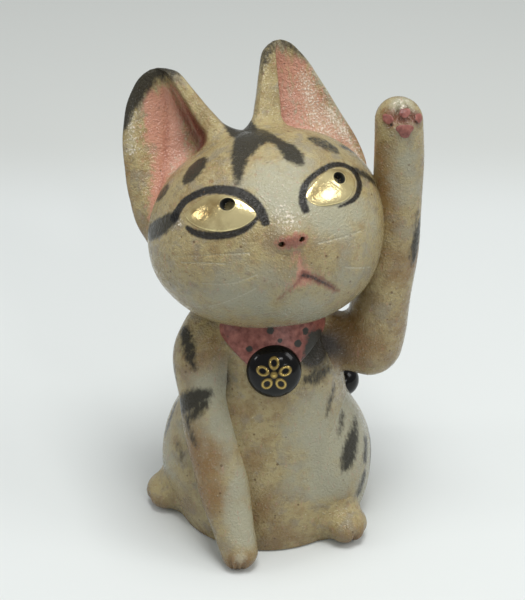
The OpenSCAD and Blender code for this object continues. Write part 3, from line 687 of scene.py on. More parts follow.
def ear_rings(width, flare, side, roll, band, grooves, rows, columns):
    """A petal: half ellipses of the rows' outer and inner widths, bent back by the cup in the middle and
    rounded at the rims. In front, a thick roll runs along the inner rim; beyond it the hollow drops to its
    floor over the fold and climbs evenly to the outer band, with finger grooves down it. Also gives each
    point's share of the height, its place across from -1 at the inner rim to 1, and whether it's in front."""
    half = width / 2 - EAR_SHY
    high, outer, inner, cup, thick = smooth_path(EAR_ROWS, np.linspace(0, 1, rows)).T[..., None]
    turn = round_columns(columns)
    across, front = np.cos(turn), np.sin(turn)
    drop = np.clip((across + 1 - roll / half) * half / EAR_FOLD, 0, 1)
    climb = np.clip((across + 1 - (roll + EAR_FOLD) / half) / (2 - (roll + EAR_FOLD + band) / half), 0, 1)
    hollow = (EAR_CUP + EAR_DIP) * drop**2 * (3 - 2 * drop) * (1 - climb) ** 0.8
    bend = EAR_WALL / 2 * thick * np.sign(front) * np.sqrt(np.abs(front))
    bend = bend - cup * np.where(front > 0, hollow, EAR_CUP * front**2)
    for at_tip, at_foot, spread, rise in grooves:
        bend = bend + rise * np.clip(front, 0, 1) * cup * streak(high, across, at_tip, at_foot, spread)
    flared = half * outer + flare * np.exp(-((EAR_HEIGHT * high - FLARE_Z) / FLARE_FADE) ** 2)
    out = np.where(across > 0, flared, half * inner) * across
    x = EAR_GAP / 2 + (half + out) * np.cos(EAR_TURN) + bend * np.sin(EAR_TURN)
    y = out * np.sin(EAR_TURN) - bend * np.cos(EAR_TURN)
    z = EAR_HEIGHT * high + 0 * across
    leant = np.stack([side * x, y, z], -1) @ EAR_LEAN.T + np.array([0, EAR_BACK, 0])
    return from_head(leant), *(np.broadcast_to(part, z.shape) for part in (high, across, front > 0))


def to_chart(points):
    """Chart points of the face that lie straight under points near the head."""
    q = (points - HEAD_MIDDLE) @ HEAD_TURN / HEAD_HALF
    q /= np.linalg.norm(q, axis=-1, keepdims=True)
    round_it = np.arctan2(q[..., 2], q[..., 0])
    away = FACE_SCALE * np.arccos(np.clip(-q[..., 1], -1, 1))
    return away[..., None] * np.stack([np.cos(round_it), np.sin(round_it)], -1)


def make_ear(name, width, flare, side, roll, band, washes, grooves, glints, rim, tip):
    """One ear. Rose washes are streaks with the shares of the height they run between and a strength, and so
    are the glints, streaks of white specks painted as sparks of light. Grooves are streaks with a rise in mm:
    a ridge is pale, partly glaze and partly a painted highlight, and a crease, like the fold beside the roll,
    is brown, partly slip and partly painted shade. The rim is its milkiness and its toast. The tip is inked
    with a strength, down to shares of the height at its middle, its outer rim and its inner rim."""
    rings, high, across, front = ear_rings(width, flare, side, roll, band, grooves, 150, 220)
    rings = skirt(rings, outward(rings), gap_to_head, *EAR_SKIRT)
    fold_at = 2 * roll / width - 0.8
    above = np.clip((high - 0.16) / 0.1, 0, 1) * np.clip(4 * (0.9 - high), 0, 1) * front

    def washed(streaks):
        return front * sum(strength * streak(high, across, *line) * np.clip((high - low) / WASH_FOOT, 0, 1)
                           * np.clip((top - high) / WASH_TOP, 0, 1) for *line, low, top, strength in streaks)

    def pressed(sign):
        return above * sum(streak(high, across, *line) for *line, rise in grooves if rise * sign > 0)

    rose, specks = washed(washes), washed(glints)
    crease, ridge = pressed(-1), pressed(1)
    fold = streak(high, across, fold_at, fold_at, 0.13) * above
    deep = streak(high, across, fold_at + 0.2, fold_at + 0.2, 0.2) * above
    outer = streak(high, across, 1.0, 1.0, 0.14)
    milky, toasted = rim
    black, tip_to, outer_to, inner_to = tip
    edge = tip_to + (np.where(across > 0, outer_to, inner_to) - tip_to) * np.abs(across) ** 1.6
    chart = to_chart(rings)
    near = np.clip(1.4 - gap_to_head(rings) / 3.0, 0, 1)
    # The three marks between the ears run a little way up onto them.
    crown = near * brush(chart, CROWN_INK[2:5], CROWN_EDGE)
    ear = skin(name, rings, stoneware, {
        "rose": rose * np.clip((across - fold_at + 0.1) / 0.12, 0, 1),
        # Painted glints: white specks standing in for sparks of light off the glaze.
        "painted_glint": specks,
        "scratch_and_highlight": 0.6 * specks,
        # Toast and plum in the fold and creases are partly the slip's brown and partly painted shade. The
        # plum in the hollow beside the fold and the near-black in the fold are painted shade.
        "toast": 0.15 + 0.9 * fold + 0.6 * crease + toasted * outer * np.clip(1.6 - 2 * high, 0, 1),
        "plum": 0.7 * fold + 0.35 * crease + 0.4 * deep,
        "painted_shade": 0.3 * fold,
        # On the ridges the milk is partly pale glaze and partly a painted highlight.
        "milk": milky * outer * np.clip(4 * high - 1.2, 0, 1) + 0.9 * ridge + near * bells(chart, FACE_MILK),
        "ink_and_shade": np.maximum(black * np.clip(0.5 + (high - edge) / TIP_EDGE, 0, 1), crown),
    })
    seat(ear, "ash_glazed_clay", name)


make_ear("left_ear", width=24.2, flare=7.0, side=1, roll=6.0, band=0.0,
         washes=[(-0.2, -0.25, 0.3, 0.02, 1.0, 0.95), (0.2, 0.2, 0.3, 0.02, 0.97, 0.7),
                 (0.66, 0.68, 0.27, 0.1, 0.93, 0.85)],
         grooves=[(0.2, 0.3, 0.26, 0.3)],
         glints=[(0.75, 0.4, 0.26, 0.3, 0.85, 0.8), (0.85, 0.85, 0.12, 0.1, 0.6, 0.7)],
         rim=(0.9, 0.6), tip=(0.62, 0.98, 0.82, 0.82))
make_ear("right_ear", width=28.0, flare=1.0, side=-1, roll=4.0, band=4.2,
         washes=[(-0.4, -0.5, 0.22, 0.1, 0.92, 0.9), (-0.1, 0.1, 0.16, 0.05, 0.94, 0.9),
                 (-0.2, 0.66, 0.13, 0.05, 0.88, 1.0), (0.25, 0.5, 0.2, 0.05, 0.9, 0.45),
                 (0.3, 0.27, 0.2, 0.55, 0.92, 0.9)],
         grooves=[(-0.3, 0.3, 0.16, 0.4), (-0.2, 0.66, 0.07, -0.4)],
         glints=[(0.8, 0.75, 0.2, 0.5, 0.95, 0.75), (-0.1, 0.25, 0.1, 0.15, 0.5, 0.5)],
         rim=(0.0, 0.5), tip=(1.0, 0.93, 0.66, 0.93))


# Eyes
# Almond pellets pressed onto the face, each with its pupil pierced through. They were fired black-rimmed and
# then painted with gold lustre, which took a third firing.
RIGHT_EYE = [[-20.9, 14.9], [-17.8, 17.5], [-14.0, 18.6], [-9.7, 17.2], [-6.4, 13.7], [-5.3, 10.6],
             [-9.1, 8.7], [-13.9, 9.0], [-18.4, 11.3]]
LEFT_EYE = [[5.7, 11.0], [6.9, 13.0], [10.6, 15.1], [14.7, 16.0], [18.7, 14.6], [20.0, 12.2], [18.9, 9.5],
            [15.2, 7.4], [11.2, 7.5], [7.5, 8.6]]
BROWNED_GOLD = [[-17.0, 14.5, 3.0, 0.7], [-12.0, 16.5, 2.0, 0.5], [8.0, 12.0, 2.0, 0.5], [16.0, 15.0, 1.5, 0.5]]
EYE_EDGE = 0.1
EYE_RISE = 0.5
BURIED = 1.0
BURR_RISE = 0.1
BURR_R = 1.7
BURR_WIDE = 0.4
PUPIL_SHADE = 0.3
GOLD = "#f7e6ac"
GOLD_BROWN = "#94753f"
# The pupil's hole is painted with its shade.
PUPIL_HOLE_SHADE = "#141716"
GOLD_PATCH_MM = 2.6
GOLD_PEEL_MM = 1.4
GOLD_METAL = 0.75
GOLD_ROUGH = 0.24


def closed_curve(points, count):
    """A smooth closed outline through the points, at count even steps."""
    looped = np.array(points[-2:] + points + points[:3], float)
    share = (2 + np.linspace(0, len(points), count, endpoint=False)) / (len(looped) - 1)
    return smooth_path(looped, share)


def pellet_chart(outline, rows):
    """Chart points of a pellet: its outline twice, for the buried rim and the edge, then shrinking to its
    middle. Also gives each row's share of the outline."""
    share = np.concatenate([[1.0], np.linspace(1, 0.01, rows)])
    middle = outline.mean(0)
    return middle + share[:, None, None] * (outline - middle), share[:, None]


def gold_lustre():
    """A skin of gold over glaze: pale champagne metal that mirrors the room softly and browns in patches.
    The pupil's hole shows no metal."""
    material, tree, shader = new_material("gold_lustre")
    place = add_node(tree, "ShaderNodeTexCoord", "Object")
    patches = add_node(tree, "ShaderNodeTexNoise", "Fac", {
        "Vector": place, "Scale": 1 / (GOLD_PATCH_MM * MM), "Detail": 5.0})
    browned = add_node(tree, "ShaderNodeAttribute", "Fac", attribute_name="browned")
    uneven = add_node(tree, "ShaderNodeMath", 0, {0: patches, 1: 1.2, 2: browned}, operation="MULTIPLY_ADD")
    share = add_node(tree, "ShaderNodeMapRange", 0, {0: uneven, 1: 0.65, 2: 1.5, 4: 0.9})
    gold = add_node(tree, "ShaderNodeMix", 2, {0: share, 6: to_linear(GOLD), 7: to_linear(GOLD_BROWN)},
                    data_type="RGBA")
    hole = add_node(tree, "ShaderNodeAttribute", "Fac", attribute_name="dark")
    # The pupil's hole and its rim are painted dark as shade.
    colour = add_node(tree, "ShaderNodeMix", 2, {0: hole, 6: gold, 7: to_linear(PUPIL_HOLE_SHADE)}, data_type="RGBA")
    tree.links.new(colour, shader.inputs["Base Color"])
    metal = add_node(tree, "ShaderNodeMapRange", 0, {0: hole, 3: GOLD_METAL, 4: 0.0})
    tree.links.new(metal, shader.inputs["Metallic"])
    matt = add_node(tree, "ShaderNodeMapRange", 0, {0: hole, 3: GOLD_ROUGH, 4: 1.0})
    tree.links.new(matt, shader.inputs["Roughness"])
    peel = add_node(tree, "ShaderNodeTexNoise", "Fac", {
        "Vector": place, "Scale": 1 / (GOLD_PEEL_MM * MM), "Detail": 2.0})
    bump = add_node(tree, "ShaderNodeBump", 0, {"Height": peel, "Strength": 0.7, "Distance": 0.2 * MM})
    tree.links.new(bump, shader.inputs["Normal"])
    return material


lustre = gold_lustre()


def make_eye(name, outline):
    """One eye: a low dome over its outline, pierced at the pupil, with the burr that the needle raised."""
    chart, share = pellet_chart(closed_curve(outline, 220), 70)
    away = np.linalg.norm(chart - np.array(PUPILS[name]), axis=-1)
    hole = pierced(chart, [PUPILS[name]], PUPIL_RADIUS)
    shaded = pierced(chart, [PUPILS[name]], PUPIL_RADIUS + PUPIL_SHADE)
    burr = BURR_RISE * np.exp(-((away - BURR_R) / BURR_WIDE) ** 2)
    lift = EYE_EDGE + EYE_RISE * np.sqrt(1 - share**2) + burr
    lift = lift - (PIT_DEPTH + EYE_RISE) * hole
    lift[0] = -BURIED
    eye = skin(name, on_head(chart, lift), lustre, {"dark": shaded, "browned": bells(chart, BROWNED_GOLD)})
    seat(eye, "gold_lustre", name)


make_eye("left_eye", LEFT_EYE)
make_eye("right_eye", RIGHT_EYE)


# Nose
# A pellet smoothed into the muzzle until only its tip stands up, with two nostrils pricked by a needle and a
# touch of rose slip.
NOSE_MIDDLE = np.array([0.2, 3.4])
NOSE_HALF = np.array([4.4, 4.0])
NOSE_RISE = 1.2
NOSE_EDGE = 2.0
NOSE_ROSE = [(1.0, [[-2.3, 3.0, 1.0], [0.3, 2.4, 1.7], [2.7, 2.4, 0.9]])]

turn = round_columns(160)
outline = NOSE_MIDDLE + NOSE_HALF * np.stack([np.cos(turn), np.sin(turn)], -1)
chart, share = pellet_chart(outline, 60)
pricked = pierced(chart, NOSTRILS, NOSTRIL_RADIUS)
lift = NOSE_RISE * (1 - share**2) ** 2 - (PIT_DEPTH + NOSE_RISE) * pricked
lift[0] = -BURIED
marks = face_marks(chart)
tint = brush(chart, NOSE_ROSE, NOSE_EDGE)
marks["toast"] = np.maximum(marks["toast"], tint)
marks["rose"] = np.maximum(marks["rose"], 0.85 * tint)
marks["plum"] = np.maximum(marks["plum"], 0.7 * tint)
# The nostrils' shade is painted dark.
nose = skin("nose", on_head(chart, lift), stoneware, {**marks, "dark": pricked})
seat(nose, "rose_slip", "nose")


# Raised arm
# A coil of clay luted to the left shoulder, bent up at the elbow and leant against the cheek. The paw at its
# top was notched into toes.

# The root and the thin of the upper arm are each a place and a radius.
ELBOW = np.array([24.3, 0.0, 46.2])
ELBOW_R = 7.6
ELBOW_IN = 1.4
WRIST_R = 5.4
ARM_ROOT = [6.0, 1.0, 51.0, 6.2]
ARM_THIN = [19.0, 0.29, 46.6, 6.5]
FOREARM_X = 25.7
ELBOW_FILLET = 2.0
ELBOW_STRETCH = 1.5
ARM_SKIRT = (2.0, 3.0)
ARM_WAVER = 0.25
ARM_SHY = 0.05
FOREARM_RISE = 57.0
ARM_BOW = 3.6
BOW_SWEEP = np.radians(120)
ARM_BACK = 1.0


def forearm_path(up):
    """Rows of the forearm at shares up from the elbow to the paw: it bows outward and thins to the wrist."""
    x = FOREARM_X + ARM_BOW * np.sin(BOW_SWEEP * up) - ELBOW_IN * (1 - up) ** 4
    radius = WRIST_R + (ELBOW_R - WRIST_R) * (1 - up) ** 2
    return np.stack([x, ARM_BACK * up, ELBOW[2] + FOREARM_RISE * up, radius], 1)


def limb_rings(path, rows, columns, cap_rows):
    """Rings square to a smooth path of places and radii, with a half ball at each end."""
    lower = np.radians(np.linspace(-88, 0, cap_rows, endpoint=False))
    share = np.concatenate([np.zeros(cap_rows), np.linspace(0, 1, rows), np.ones(cap_rows)])
    tilt = np.concatenate([lower, np.zeros(rows), -lower[::-1]])
    q = smooth_path(path, share)
    ahead = smooth_path(path, np.minimum(share + 0.01, 1)) - smooth_path(path, np.maximum(share - 0.01, 0))
    ahead = ahead[:, :3] / np.linalg.norm(ahead[:, :3], axis=1, keepdims=True)
    side = np.cross([0.0, 1.0, 0.0], ahead)
    side /= np.linalg.norm(side, axis=1, keepdims=True)
    other = np.cross(ahead, side)
    turn = round_columns(columns)
    spoke = side[:, None] * np.cos(turn)[:, None] + other[:, None] * np.sin(turn)[:, None]
    middle = q[:, :3] + ahead * (q[:, 3] * np.sin(tilt))[:, None]
    return middle[:, None] + spoke * (q[:, 3] * np.cos(tilt))[:, None, None]


def body_size_at(z):
    """Half width and half depth of the body at heights z."""
    levels = smooth_path(LEVELS, np.linspace(0, 1, 200))
    return np.interp(z, levels[:, 0], levels[:, 1]), np.interp(z, levels[:, 0], levels[:, 2])


def gap_to_body(points):
    """Distance of points outside the body, measured level, and below 0 inside it."""
    wide, deep = body_size_at(points[..., 2])
    share = np.hypot(points[..., 0] / wide, points[..., 1] / deep)
    return (share - 1) * np.hypot(points[..., 0], points[..., 1]) / np.maximum(share, 1e-6)


def with_fillet(first, second, radius):
    """Joins two distance functions into one for both forms together, with a round fillet where they meet."""
    def gap(points):
        a, b = first(points), second(points)
        inside = np.hypot(np.maximum(radius - a, 0), np.maximum(radius - b, 0))
        return np.maximum(radius, np.minimum(a, b)) - inside
    return gap


SLIP_COVER = 0.03
SLIP_SINK = 0.25


def drawn_out(points, middle, gap, stretch):
    """Points moved straight out from the middle onto the surface where gap is 0, found by halving, as a thumb
    fills a joint with slip. They go at most stretch times as far: they lie a hair's breadth over the surface
    and sink under it towards that limit. The middle is one place, or one for each row."""
    low, high = np.ones(points.shape[:-1]), np.full(points.shape[:-1], stretch)
    for _ in range(14):
        share = (low + high) / 2
        cover = SLIP_COVER - SLIP_SINK * ((share - 1) / (stretch - 1)) ** 2
        outside = gap(middle + share[..., None] * (points - middle)) > cover
        low, high = np.where(outside, low, share), np.where(outside, share, high)
    return middle + low[..., None] * (points - middle)


def gap_to_limb(path):
    """A function for the distance outside a limb of places and radii."""
    balls = smooth_path(path, np.linspace(0, 1, 60))
    return lambda points: (np.linalg.norm(points[..., None, :] - balls[:, :3], axis=-1) - balls[:, 3]).min(-1)


def toe_notches(turn_about, gaps, wide):
    """Notches between toes: bells at gaps in degrees round the paw, each wide degrees across."""
    return sum(np.exp(-((turn_about - at) / wide) ** 2) for at in gaps)


PAW_MIDDLE = np.array([28.82, 1.0, 103.2])
TOE_GAPS = (-12.0, 34.0)
TOE_GAP_WIDE = 9.0
TOE_NOTCH = 1.5
# Shallow recesses round the pads, which are also darkened with painted shade.
PAW_RECESS = [[26.1, -3.1, 105.5, 1.5, 0.5], [29.7, -2.9, 106.8, 1.5, 0.5], [32.7, -2.2, 105.3, 1.5, 0.5],
              [29.3, -4.1, 105.0, 1.2, 0.25]]
# The shade of a small pit on the raised paw, painted only.
PAW_PIT_SHADE = [[26.7, -3.8, 104.4, 0.42, 1.0]]
ARM_INK = [(1.0, [[33.9, -1.9, 79.6, 1.1], [33.4, -2.7, 75.4, 1.7], [32.9, -3.1, 70.4, 1.0]]),
           (0.8, [[33.5, -2.9, 82.4, 0.7], [32.3, -3.8, 72.1, 0.8]]),
           (0.8, [[33.5, 3.5, 92.0, 0.8], [34.0, 1.0, 88.0, 1.4], [34.0, 0.0, 85.0, 0.7]]),
           (0.8, [[31.0, 4.5, 70.0, 1.0], [29.0, 6.0, 64.0, 1.6], [27.0, 6.8, 58.0, 0.9]]),
           (0.7, [[27.5, -5.8, 49.5, 0.3], [28.0, -5.4, 49.2, 0.3]])]
# Painted shade under the arm's root and along the forearm where it leans on the cheek. The first toast patch
# is painted shade too, a browner one, under the root.
ARM_SHADE = [[15.0, -5.0, 50.0, 3.2, 0.62], [18.0, -5.8, 46.5, 3.5, 0.3], [21.0, -4.5, 61.0, 3.5, 0.32],
            [22.0, -4.5, 70.0, 3.0, 0.22]]
ARM_TOAST_AND_SHADE = [[17.0, -5.0, 49.0, 4.0, 1.0], [24.0, -4.0, 75.0, 6.0, 0.3], [27.0, -5.0, 52.0, 8.0, 0.3],
             [25.0, -2.6, 107.0, 1.5, 1.2], [24.0, -3.5, 97.0, 2.5, 0.6], [25.0, -4.0, 89.0, 3.5, 0.6],
             [26.5, -5.0, 82.0, 3.0, 0.3], [32.0, -3.0, 69.0, 3.0, 0.6]]
ARM_MILK = [[29.5, -2.0, 109.5, 3.5, 1.0], [30.0, -5.0, 97.0, 3.5, 0.6], [31.5, -4.5, 88.0, 3.5, 0.6],
            [31.0, -4.5, 78.0, 3.0, 0.4]]
# Painted glints on the raised paw.
ARM_GLINTS = [[29.5, -2.0, 108.8, 2.4, 1.0], [26.3, -4.2, 103.4, 1.2, 0.6]]

ARM_PATHS = {"upper_arm": [ARM_ROOT, ARM_THIN, [*ELBOW, ELBOW_R]],
             "forearm": forearm_path(np.array([0.0, 0.12, 0.35, 0.6, 0.8, 1.0]))}
bent_arm = with_fillet(gap_to_limb(ARM_PATHS["forearm"]), gap_to_limb([ARM_ROOT, ARM_THIN]), ELBOW_FILLET)
for name, path in ARM_PATHS.items():
    rings = limb_rings(path, 160, 130, 24)
    if name == "forearm":
        rings = drawn_out(rings, rings.mean(1, keepdims=True), bent_arm, ELBOW_STRETCH)
    normals = outward(rings)
    rings = skirt(rings, normals, gap_to_body, *ARM_SKIRT)
    tip = rings - PAW_MIDDLE
    turn_about = np.degrees(np.arctan2(tip[..., 0], -tip[..., 1]))
    off_axis = np.hypot(tip[..., 0], tip[..., 1])
    on_top = np.clip(tip[..., 2] / 2.5 - 0.4, 0, 1) * np.clip(off_axis / 2.0 - 0.7, 0, 1)
    notch = toe_notches(turn_about, TOE_GAPS, TOE_GAP_WIDE) * on_top
    recess = bells(rings, PAW_RECESS)
    rings = rings + normals * (hand_waver(rings, ARM_WAVER) - ARM_SHY - TOE_NOTCH * notch - recess)[..., None]
    arm = skin(name, rings, stoneware, {
        "ink_and_shade": fur_marks(rings, ARM_INK),
        # Painted shade, with the armpit's shade carried onto the arm.
        "painted_shade": bells(rings, ARM_SHADE) + 0.6 * bells(rings, ARMPIT_SHADE),
        # The recess round the pads is darkened with painted shade, in toast and plum.
        "toast": 0.2 - 0.1 * np.clip((rings[..., 2] - 95) / 10, 0, 1) + bells(rings, ARM_TOAST_AND_SHADE) + recess,
        "plum": 1.5 * recess,
        "milk": bells(rings, ARM_MILK),
        "dark": bells(rings, PAW_PIT_SHADE),
        "painted_glint": bells(rings, ARM_GLINTS),
    })
    seat(arm, "toasted_clay", "raised_arm")


# Paw pads
# Four dabs of clay on the raised paw, one in the palm and three at the toes. They were pressed on with a
# fingertip and brushed with rose slip, and are coloured darker round their edges.
PALM = (10.0, 1.0)
PALM_SIZE = (3.5, 3.3, 0.16)
TOES = [(-34.0, 25.0), (13.0, 42.0), (53.0, 22.0)]
TOE_SIZE = (2.7, 2.1, 0.06)
PAD_RISE = 0.3
PAD_EDGE_DARK = 0.42
ROSE_DEEP = "#6f3a32"
ROSE_PALE = "#ad6f62"
BLOTCH_MM = 1.3
ROSE_ROUGH = 0.35


def rose_slip():
    """Dusty rose slip under thin glaze: a satin, slightly blotched pink that darkens where it is thick. The
    piece's ink-and-shade mark lays iron dots and painted shade on it, and darkens the pads round their edges."""
    material, tree, shader = new_material("rose_slip")
    place = add_node(tree, "ShaderNodeTexCoord", "Object")
    blotch = add_node(tree, "ShaderNodeTexNoise", "Fac", {
        "Vector": place, "Scale": 1 / (BLOTCH_MM * MM), "Detail": 5.0})
    depth = add_node(tree, "ShaderNodeMapRange", 0, {0: blotch, 1: 0.3, 2: 0.7})
    tone = add_node(tree, "ShaderNodeMix", 2, {0: depth, 6: to_linear(ROSE_DEEP), 7: to_linear(ROSE_PALE)},
                    data_type="RGBA")
    ink_and_shade = add_node(tree, "ShaderNodeAttribute", "Fac", attribute_name="ink_and_shade")
    uneven = add_node(tree, "ShaderNodeMath", 0, {0: blotch, 1: 1.0, 2: ink_and_shade}, operation="MULTIPLY_ADD")
    dots = add_node(tree, "ShaderNodeMapRange", 0, {0: uneven, 1: 0.85, 2: 1.15},
                    interpolation_type="SMOOTHSTEP")
    colour = add_node(tree, "ShaderNodeMix", 2, {0: dots, 6: tone, 7: to_linear(INK)}, data_type="RGBA")
    tree.links.new(colour, shader.inputs["Base Color"])
    shader.inputs["Roughness"].default_value = ROSE_ROUGH
    peel = add_node(tree, "ShaderNodeTexNoise", "Fac", {
        "Vector": place, "Scale": 1 / (PEEL_MM * MM), "Detail": 2.0})
    bump = add_node(tree, "ShaderNodeBump", 0, {"Height": peel, "Strength": 0.6, "Distance": 0.2 * MM})
    tree.links.new(bump, shader.inputs["Normal"])
    return material


rose = rose_slip()


def egg_rings(half, rows, columns, axis=1):
    """An egg about the origin with its poles on the given axis: half sizes times the unit ball."""
    up = np.linspace(0.01, np.pi - 0.01, rows)[:, None]
    turn = round_columns(columns)
    ball = np.stack([np.sin(up) * np.cos(turn), np.sin(up) * np.sin(turn), -np.cos(up) + 0 * turn], -1)
    return np.roll(ball, axis + 1, -1) * np.asarray(half)


def make_pad(name, node, turn, rise, wide, tall, corners):
    """A dab on the round tip of the paw, turned about its upright axis and raised up it, in degrees. Corners
    draw it out into a triangle that points down, and two smaller waves make its outline uneven."""
    place = turned(2, turn) @ turned(0, -rise)
    about = round_columns(60)
    lobes = 1 - corners * np.cos(3 * about)
    lobes = lobes + 0.07 * np.sin(2 * about + turn) + 0.05 * np.sin(5 * about + rise)
    dab = egg_rings([wide / 2, PAD_RISE, tall / 2], 30, 60) * np.stack([lobes, 0 * lobes + 1, lobes], -1)
    edge = np.hypot(dab[..., 0] / wide, dab[..., 2] / tall) * 2 / lobes
    rings = (dab + np.array([0, -WRIST_R, 0])) @ place.T + PAW_MIDDLE
    pad = skin(name, rings, rose, {"ink_and_shade": PAD_EDGE_DARK * edge**3})
    seat(pad, "rose_slip", node)


make_pad("palm_pad", "palm_pad", *PALM, *PALM_SIZE)
for i, toe in enumerate(TOES):
    make_pad(f"toe_pad_{i + 1}", "toe_pads", *toe, *TOE_SIZE)


# Front leg
# A tapered coil from the right shoulder to a paw that stands in front of the base. It was pressed against the
# belly, so that its inner side swells that way and a crease runs down beside it.
LEG_TOP = np.array([-15.3, -6.2, 49.0])
LEG_END = np.array([-6.7, -25.3, 3.5])
LEG_ROOT = [-12.15, 2.1, 54.04, 4.5]
LEG_BOW = 2.2
LEG_R = 6.3
PAW_R = 3.9
FRONT_TOE_GAPS = (-14.0, 11.0, 33.0)
FRONT_TOE_WIDE = 8.0
FRONT_TOE_NOTCH = 0.6
TOE_TOP = 5.5
SHOULDER_FROM = 40.0
SHOULDER_RISE = 8.0
LEG_SKIRT_REACH = 2.0
LEG_SKIRT_HEIGHT = 2.5
# Each row: a height and how far the inner side swells there.
LEG_SWELL = [[0.0, 0.2], [9.0, 1.6], [18.0, 2.6], [27.0, 2.7], [36.0, 2.0], [46.0, 0.5], [52.0, 0.0]]


def leg_path():
    """Rows of the leg: a root buried in the shoulder, then a line to the paw that bows outward."""
    rows = [LEG_ROOT]
    for down in (0.0, 0.22, 0.45, 0.7, 0.9):
        x, y, z = LEG_TOP + (LEG_END - LEG_TOP) * down
        rows.append([x - LEG_BOW * np.sin(np.pi * down), y, z, LEG_R + (PAW_R - LEG_R) * down])
    return rows + [[*LEG_END, PAW_R]]


LEG_INK = [
    (1.0, [[-19.1, -6.7, 54.2, 1.2], [-18.3, -8.5, 53.4, 1.6], [-17.8, -10.8, 51.9, 1.6],
           [-17.3, -12.4, 49.7, 1.2], [-16.7, -13.3, 48.2, 0.7]]),
    (0.85, [[-20.7, -10.1, 45.9, 0.8], [-20.6, -10.4, 42.8, 0.8]]),
    (1.0, [[-19.6, -13.0, 36.9, 1.9], [-17.9, -14.8, 39.6, 2.3], [-15.9, -15.4, 41.4, 2.0],
           [-13.6, -15.4, 42.2, 1.2]]),
    (0.9, [[-18.0, -15.6, 35.2, 1.3], [-16.1, -16.2, 38.2, 1.6], [-14.2, -15.9, 40.2, 1.2]]),
    (0.72, [[-18.3, -15.9, 34.2, 1.1], [-17.3, -17.2, 32.2, 1.2], [-16.4, -18.4, 30.2, 0.8]]),
]
LEG_MILK = [[-11.0, -17.0, 44.0, 4.5, 1.1], [-8.0, -19.5, 35.0, 4.0, 1.2], [-5.5, -23.0, 24.0, 3.6, 1.1],
            [-5.5, -24.5, 14.0, 3.6, 1.0], [-5.6, -26.5, 8.0, 3.0, 0.6], [-20.0, -12.0, 30.0, 4.0, 0.4]]
LEG_TOAST = [[-14.6, -19.6, 28.0, 4.2, 0.85], [-12.4, -22.6, 18.0, 3.6, 0.65], [-6.7, -28.5, 2.0, 2.8, 1.4],
             [-15.0, -13.0, 50.0, 4.0, 0.4]]
# A painted highlight on top of the front paw.
PAW_HIGHLIGHT = [[-6.2, -28.8, 5.0, 1.6, 0.6]]

rings = limb_rings(leg_path(), 190, 130, 22)
normals = outward(rings)
swell = smooth_path(LEG_SWELL, np.linspace(0, 1, 80)).T
rings[..., 0] += np.interp(rings[..., 2], *swell) * np.clip(normals[..., 0], 0, 1)
shoulder = np.clip((rings[..., 2] - SHOULDER_FROM) / SHOULDER_RISE, 0, 1)
rings = skirt(rings, normals, gap_to_body, LEG_SKIRT_REACH * shoulder, LEG_SKIRT_HEIGHT)
low = rings - LEG_END
turn_about = np.degrees(np.arctan2(low[..., 0] - 0.3 * low[..., 1], -low[..., 1]))
in_front = np.clip(-low[..., 1] / 1.5 - 0.6, 0, 1) * np.clip((TOE_TOP - rings[..., 2]) / 2.5, 0, 1)
notch = toe_notches(turn_about, FRONT_TOE_GAPS, FRONT_TOE_WIDE) * in_front
rings = rings + normals * (hand_waver(rings, WAVER) - FRONT_TOE_NOTCH * notch)[..., None]
rings[..., 2] = np.maximum(rings[..., 2], 0)
leg = skin("front_leg", rings, stoneware, {
    "ink_and_shade": fur_marks(rings, LEG_INK),
    "milk": bells(rings, LEG_MILK),
    "toast": np.clip(0.2 + bells(rings, LEG_TOAST), 0, 1),
    "scratch_and_highlight": bells(rings, PAW_HIGHLIGHT),
    # Painted shade from the head, as on the chest.
    "painted_shade": 0.6 * bells(rings, CHEST_SHADE),
})
seat(leg, "ash_glazed_clay", "front_leg")


# Haunches
# Two pads of clay pressed on the sides of the belly and smoothed out into it, so that each thigh swells from
# the body without an edge.
HAUNCH_HALF = np.array([8.7, 14.0, 14.5])
HAUNCH_X = 16.8
FLANK_FILLET = 5.0
HAUNCH_STRETCH = 1.6
HAUNCHES = {1: np.array([HAUNCH_X, 0.0, 14.5]), -1: np.array([-HAUNCH_X, 3.0, 14.5])}


def gap_to_egg(points, middle, half):
    """Distance of points outside an egg, near enough close to its surface."""
    share = np.linalg.norm((points - middle) / half, axis=-1)
    return share * (share - 1) / np.maximum(np.linalg.norm((points - middle) / half**2, axis=-1), 1e-9)


def gap_to_flank(side):
    """A function for the distance outside the body and one haunch together, with a thumbed fillet between."""
    def gap_to_haunch(points):
        return gap_to_egg(points, HAUNCHES[side], HAUNCH_HALF)
    return with_fillet(gap_to_body, gap_to_haunch, FLANK_FILLET)


